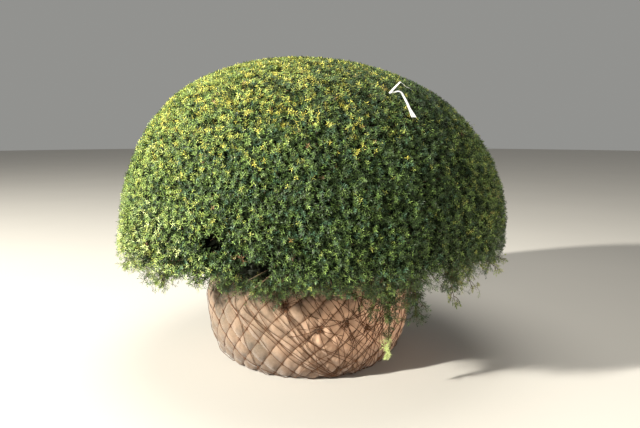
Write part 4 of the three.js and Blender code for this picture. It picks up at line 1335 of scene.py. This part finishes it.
def looseGrowth(random, name, masses, nodes):
    # Twigs and needles of several loose masses as joined pieces
    grown = [looseMass(random, mass) for mass in masses]
    addPiece(f"{name}_twigs", joinedLists([shape for shape, _, _ in grown]), twigBark, nodes)
    roots = np.concatenate([roots for _, roots, _ in grown])
    tips = np.concatenate([tips for _, _, tips in grown])
    tintOf = dealTints(random, tips)
    # Low sprays on the right hang in the crown's shadow: lighter greens give them painted sunlight
    paintedSunlit = (tips[:, 0] > 0.8) & (tips[:, 2] < 0.68) & (random.random(len(tips)) < 0.7)
    tintOf[paintedSunlit] = anyOf(random, ("olive", "lime", "mid"), paintedSunlit.sum())
    tintOf[(tips[:, 2] < 0.335) & (tips[:, 0] < 0.6)] = tintNames.index("pale_tip")
    needlePieces(random, name, roots, tips, tintOf, nodes, loose["leaves"])


def growCrown():
    # Limbs, branches and twigs as joined tubes, and each layer of shoots
    random = np.random.default_rng(seed)
    limbs = growOn(random, growth["limbs"], np.concatenate([boughPaths, lowBoughPaths]), 0.45, 0.97)
    branches = growOn(random, growth["branches"], limbs, 0.3, 1.0)
    twigs = growOn(random, growth["twigs"], branches, 0.3, 1.0)
    skirtPaths = skirtTwigs(random, branches)
    parts = []
    for level, paths in (("limbs", limbs), ("branches", branches), ("twigs", twigs), ("twigs", skirtPaths)):
        sizes = growth[level]
        radii = blendOf(*sizes["radius"], np.linspace(0, 1, paths.shape[1]))
        parts.append(tubes(paths, radii, sizes["sides"]))
    layers = {"outer": domeShoots(random, twigs), "skirt": skirtShoots(random, skirtPaths)}
    for name, parents in (("under", twigs), ("inner", twigs), ("shaded", branches), ("deepest", limbs)):
        layers[name] = innerShoots(random, growth[name], parents, name in ("under", "inner"))
    for name, (roots, _) in layers.items():
        print("  ", name, len(roots), "shoots")
    return parts, layers


needleMaterials = {tint: needleMaterial(f"{tint} needles", colour) for tint, colour in tints.items()}
dome = ["crown_dome"]
crownParts, layers = growCrown()
addPiece("crown_limbs", joinedLists(crownParts[:2]), boughBark, dome)
addPiece("crown_twigs", joinedLists(crownParts[2:]), twigBark, dome)
print("limbs and twigs grown")

random = np.random.default_rng(seed + 5)
shootRoots, shootTips = (np.concatenate(ends) for ends in zip(layers["outer"], layers["skirt"]))
every = growth["stemEvery"]
crownStems = stems(shootRoots[::every], shootTips[::every], growth["stemRadius"])
addPiece("crown_stems", crownStems, youngBark, dome)
needlePieces(random, "needles", shootRoots, shootTips, dealTints(random, shootTips), dome, growth["shoots"])
# The layers under the outer shoots get near-black tints, mostly inner and shaded: painted shade inside the
# crown
underTint = anyOf(random, ("deep", "blue_green", "inner"), len(layers["under"][0]), (0.12, 0.03, 0.85))
needlePieces(random, "under", *layers["under"], underTint, dome, growth["under"])
innerTint = np.full(len(layers["inner"][0]), tintNames.index("inner"))
needlePieces(random, "inside", *layers["inner"], innerTint, dome, growth["inner"])
for name in ("shaded", "deepest"):
    shape = sprays(random, *layers[name], growth[name])
    addPiece(f"{name}_sprays", shape, needleMaterials["shaded"], dome, smooth=False)
print("crown needles made")

looseGrowth(random, "hanging", list(hanging.values()), [f"hanging_spray_{place}" for place in hanging])
looseGrowth(random, "fringe", fringeMasses(random), dome)
print("hanging masses made")


# Plant tag: two bare ribbons over the crown, looped round a twig by an eyelet. Their routes
# are steps right, up the dome and above the outline, from the twig.
tag = {
    "thickness": 0.0012,
    "strapWidth": 0.009,
    "tailWidth": 0.030,
    "azimuth": -59.4,
    "z": 1.590,
    "strap": [(0, 0, 0.014), (0.033, 0.013, 0.040), (0.079, 0.037, 0.062), (0.114, 0.021, 0.042),
              (0.191, 0.040, 0.014)],
    "tail": [(0, 0, 0.014), (0.021, 0.001, 0.020), (0.044, -0.002, 0.032), (0.060, -0.011, 0.034),
             (0.060, -0.043, 0.024), (0.050, -0.105, 0.015), (0.043, -0.168, 0.014)],
    "rows": 64,
    "columns": 7,
    "eyelet": 0.0045,
    "eyeletWire": 0.0012,
}
film = {"scale": 70.0, "detail": 2.0, "spread": None, "roughness": (0.35, 0.6),
        "colours": ((0.82, 0.83, 0.84), (0.92, 0.92, 0.90)), "bump": (0.25, 0.002)}


def tagPoint(right, up, out):
    # Steps right, up and out from the tag's twig as a point over the dome
    arc = np.interp(tag["z"], crownProfile["heights"], crownProfile["arcs"]) + up
    wide = profileAt(crownProfile, arc)[0]
    return crownPoint(arc, np.radians(tag["azimuth"]) + right / wide, out)


def ribbon(steps, width, endWidth, salt):
    # A flat strip carried along a rounded route, a little curled and rippled
    steps = np.array(steps, float)
    lengths = np.concatenate([[0], np.cumsum(np.linalg.norm(np.diff(steps, axis=0), axis=1))])
    spots = np.linspace(0, lengths[-1], tag["rows"])
    route = np.stack([np.interp(spots, lengths, steps[:, axis]) for axis in (0, 1, 2)], axis=-1)
    for _ in range(3):
        route[1:-1] = (route[:-2] + 2 * route[1:-1] + route[2:]) / 4
    share = spots / lengths[-1]
    above = route[:, 2] + 0.0015 * np.sin(9 * share + salt)
    centre = tagPoint(route[:, 0], route[:, 1], above)
    higher = tagPoint(route[:, 0], route[:, 1], above + 0.01)
    along = unit(np.gradient(centre, axis=0))
    across = unit(np.cross(along, unit(higher - centre)))
    normal = np.cross(across, along)
    flare = smoothStep(0.72, 1.0, share)
    half = 0.5 * (blendOf(width, 0.55 * endWidth, share) + 0.45 * endWidth * flare)
    columns = np.linspace(-1, 1, tag["columns"])
    notch = 0.006 * (1 - np.abs(columns)) * flare[:, None]
    lift = half[:, None] * (0.16 * (columns ** 2 - 0.5))
    top = centre[:, None] + across[:, None] * (half[:, None] * columns)[..., None]
    top = top + normal[:, None] * (lift + tag["thickness"] / 2)[..., None] - along[:, None] * notch[..., None]
    under = top - normal[:, None] * tag["thickness"]
    # Once round the strip for every row: over the top, then back underneath. Its faces
    # point inwards, and outwards without the last line's [:, ::-1].
    rings = np.concatenate([top, under[:, ::-1]], axis=1)
    ends = np.stack([rings[0].mean(axis=0), rings[-1].mean(axis=0)])
    return np.concatenate([rings.reshape(-1, 3), ends]), closedTriangles(*rings.shape[:2])[:, ::-1]


def makeTag():
    # Both ribbons and the eyelet's loop, whose tube has no thickness because its ends meet
    above = tag["strap"][0][2]
    centre = tagPoint(0.0, 0.0, above)
    up = unit(tagPoint(0.0, 0.0, above + 0.01) - centre)
    across = sideOf(up)
    turn = np.linspace(0, 2 * np.pi, 25)[:, None]
    loop = centre + tag["eyelet"] * (across * np.cos(turn) + np.cross(up, across) * np.sin(turn))
    strap = ribbon(tag["strap"], tag["strapWidth"], tag["strapWidth"], 0.4)
    tail = ribbon(tag["tail"], tag["strapWidth"], tag["tailWidth"], 2.2)
    return joinedLists([strap, tail, tubes(loop[None], tag["eyeletWire"], 6)])


# Matt white film with faint creases
addPiece("tag_ribbons", makeTag(), speckledMaterial("white film", {"Specular IOR Level": 0.35}, film),
         ["plant_tag"])
print("tag made")
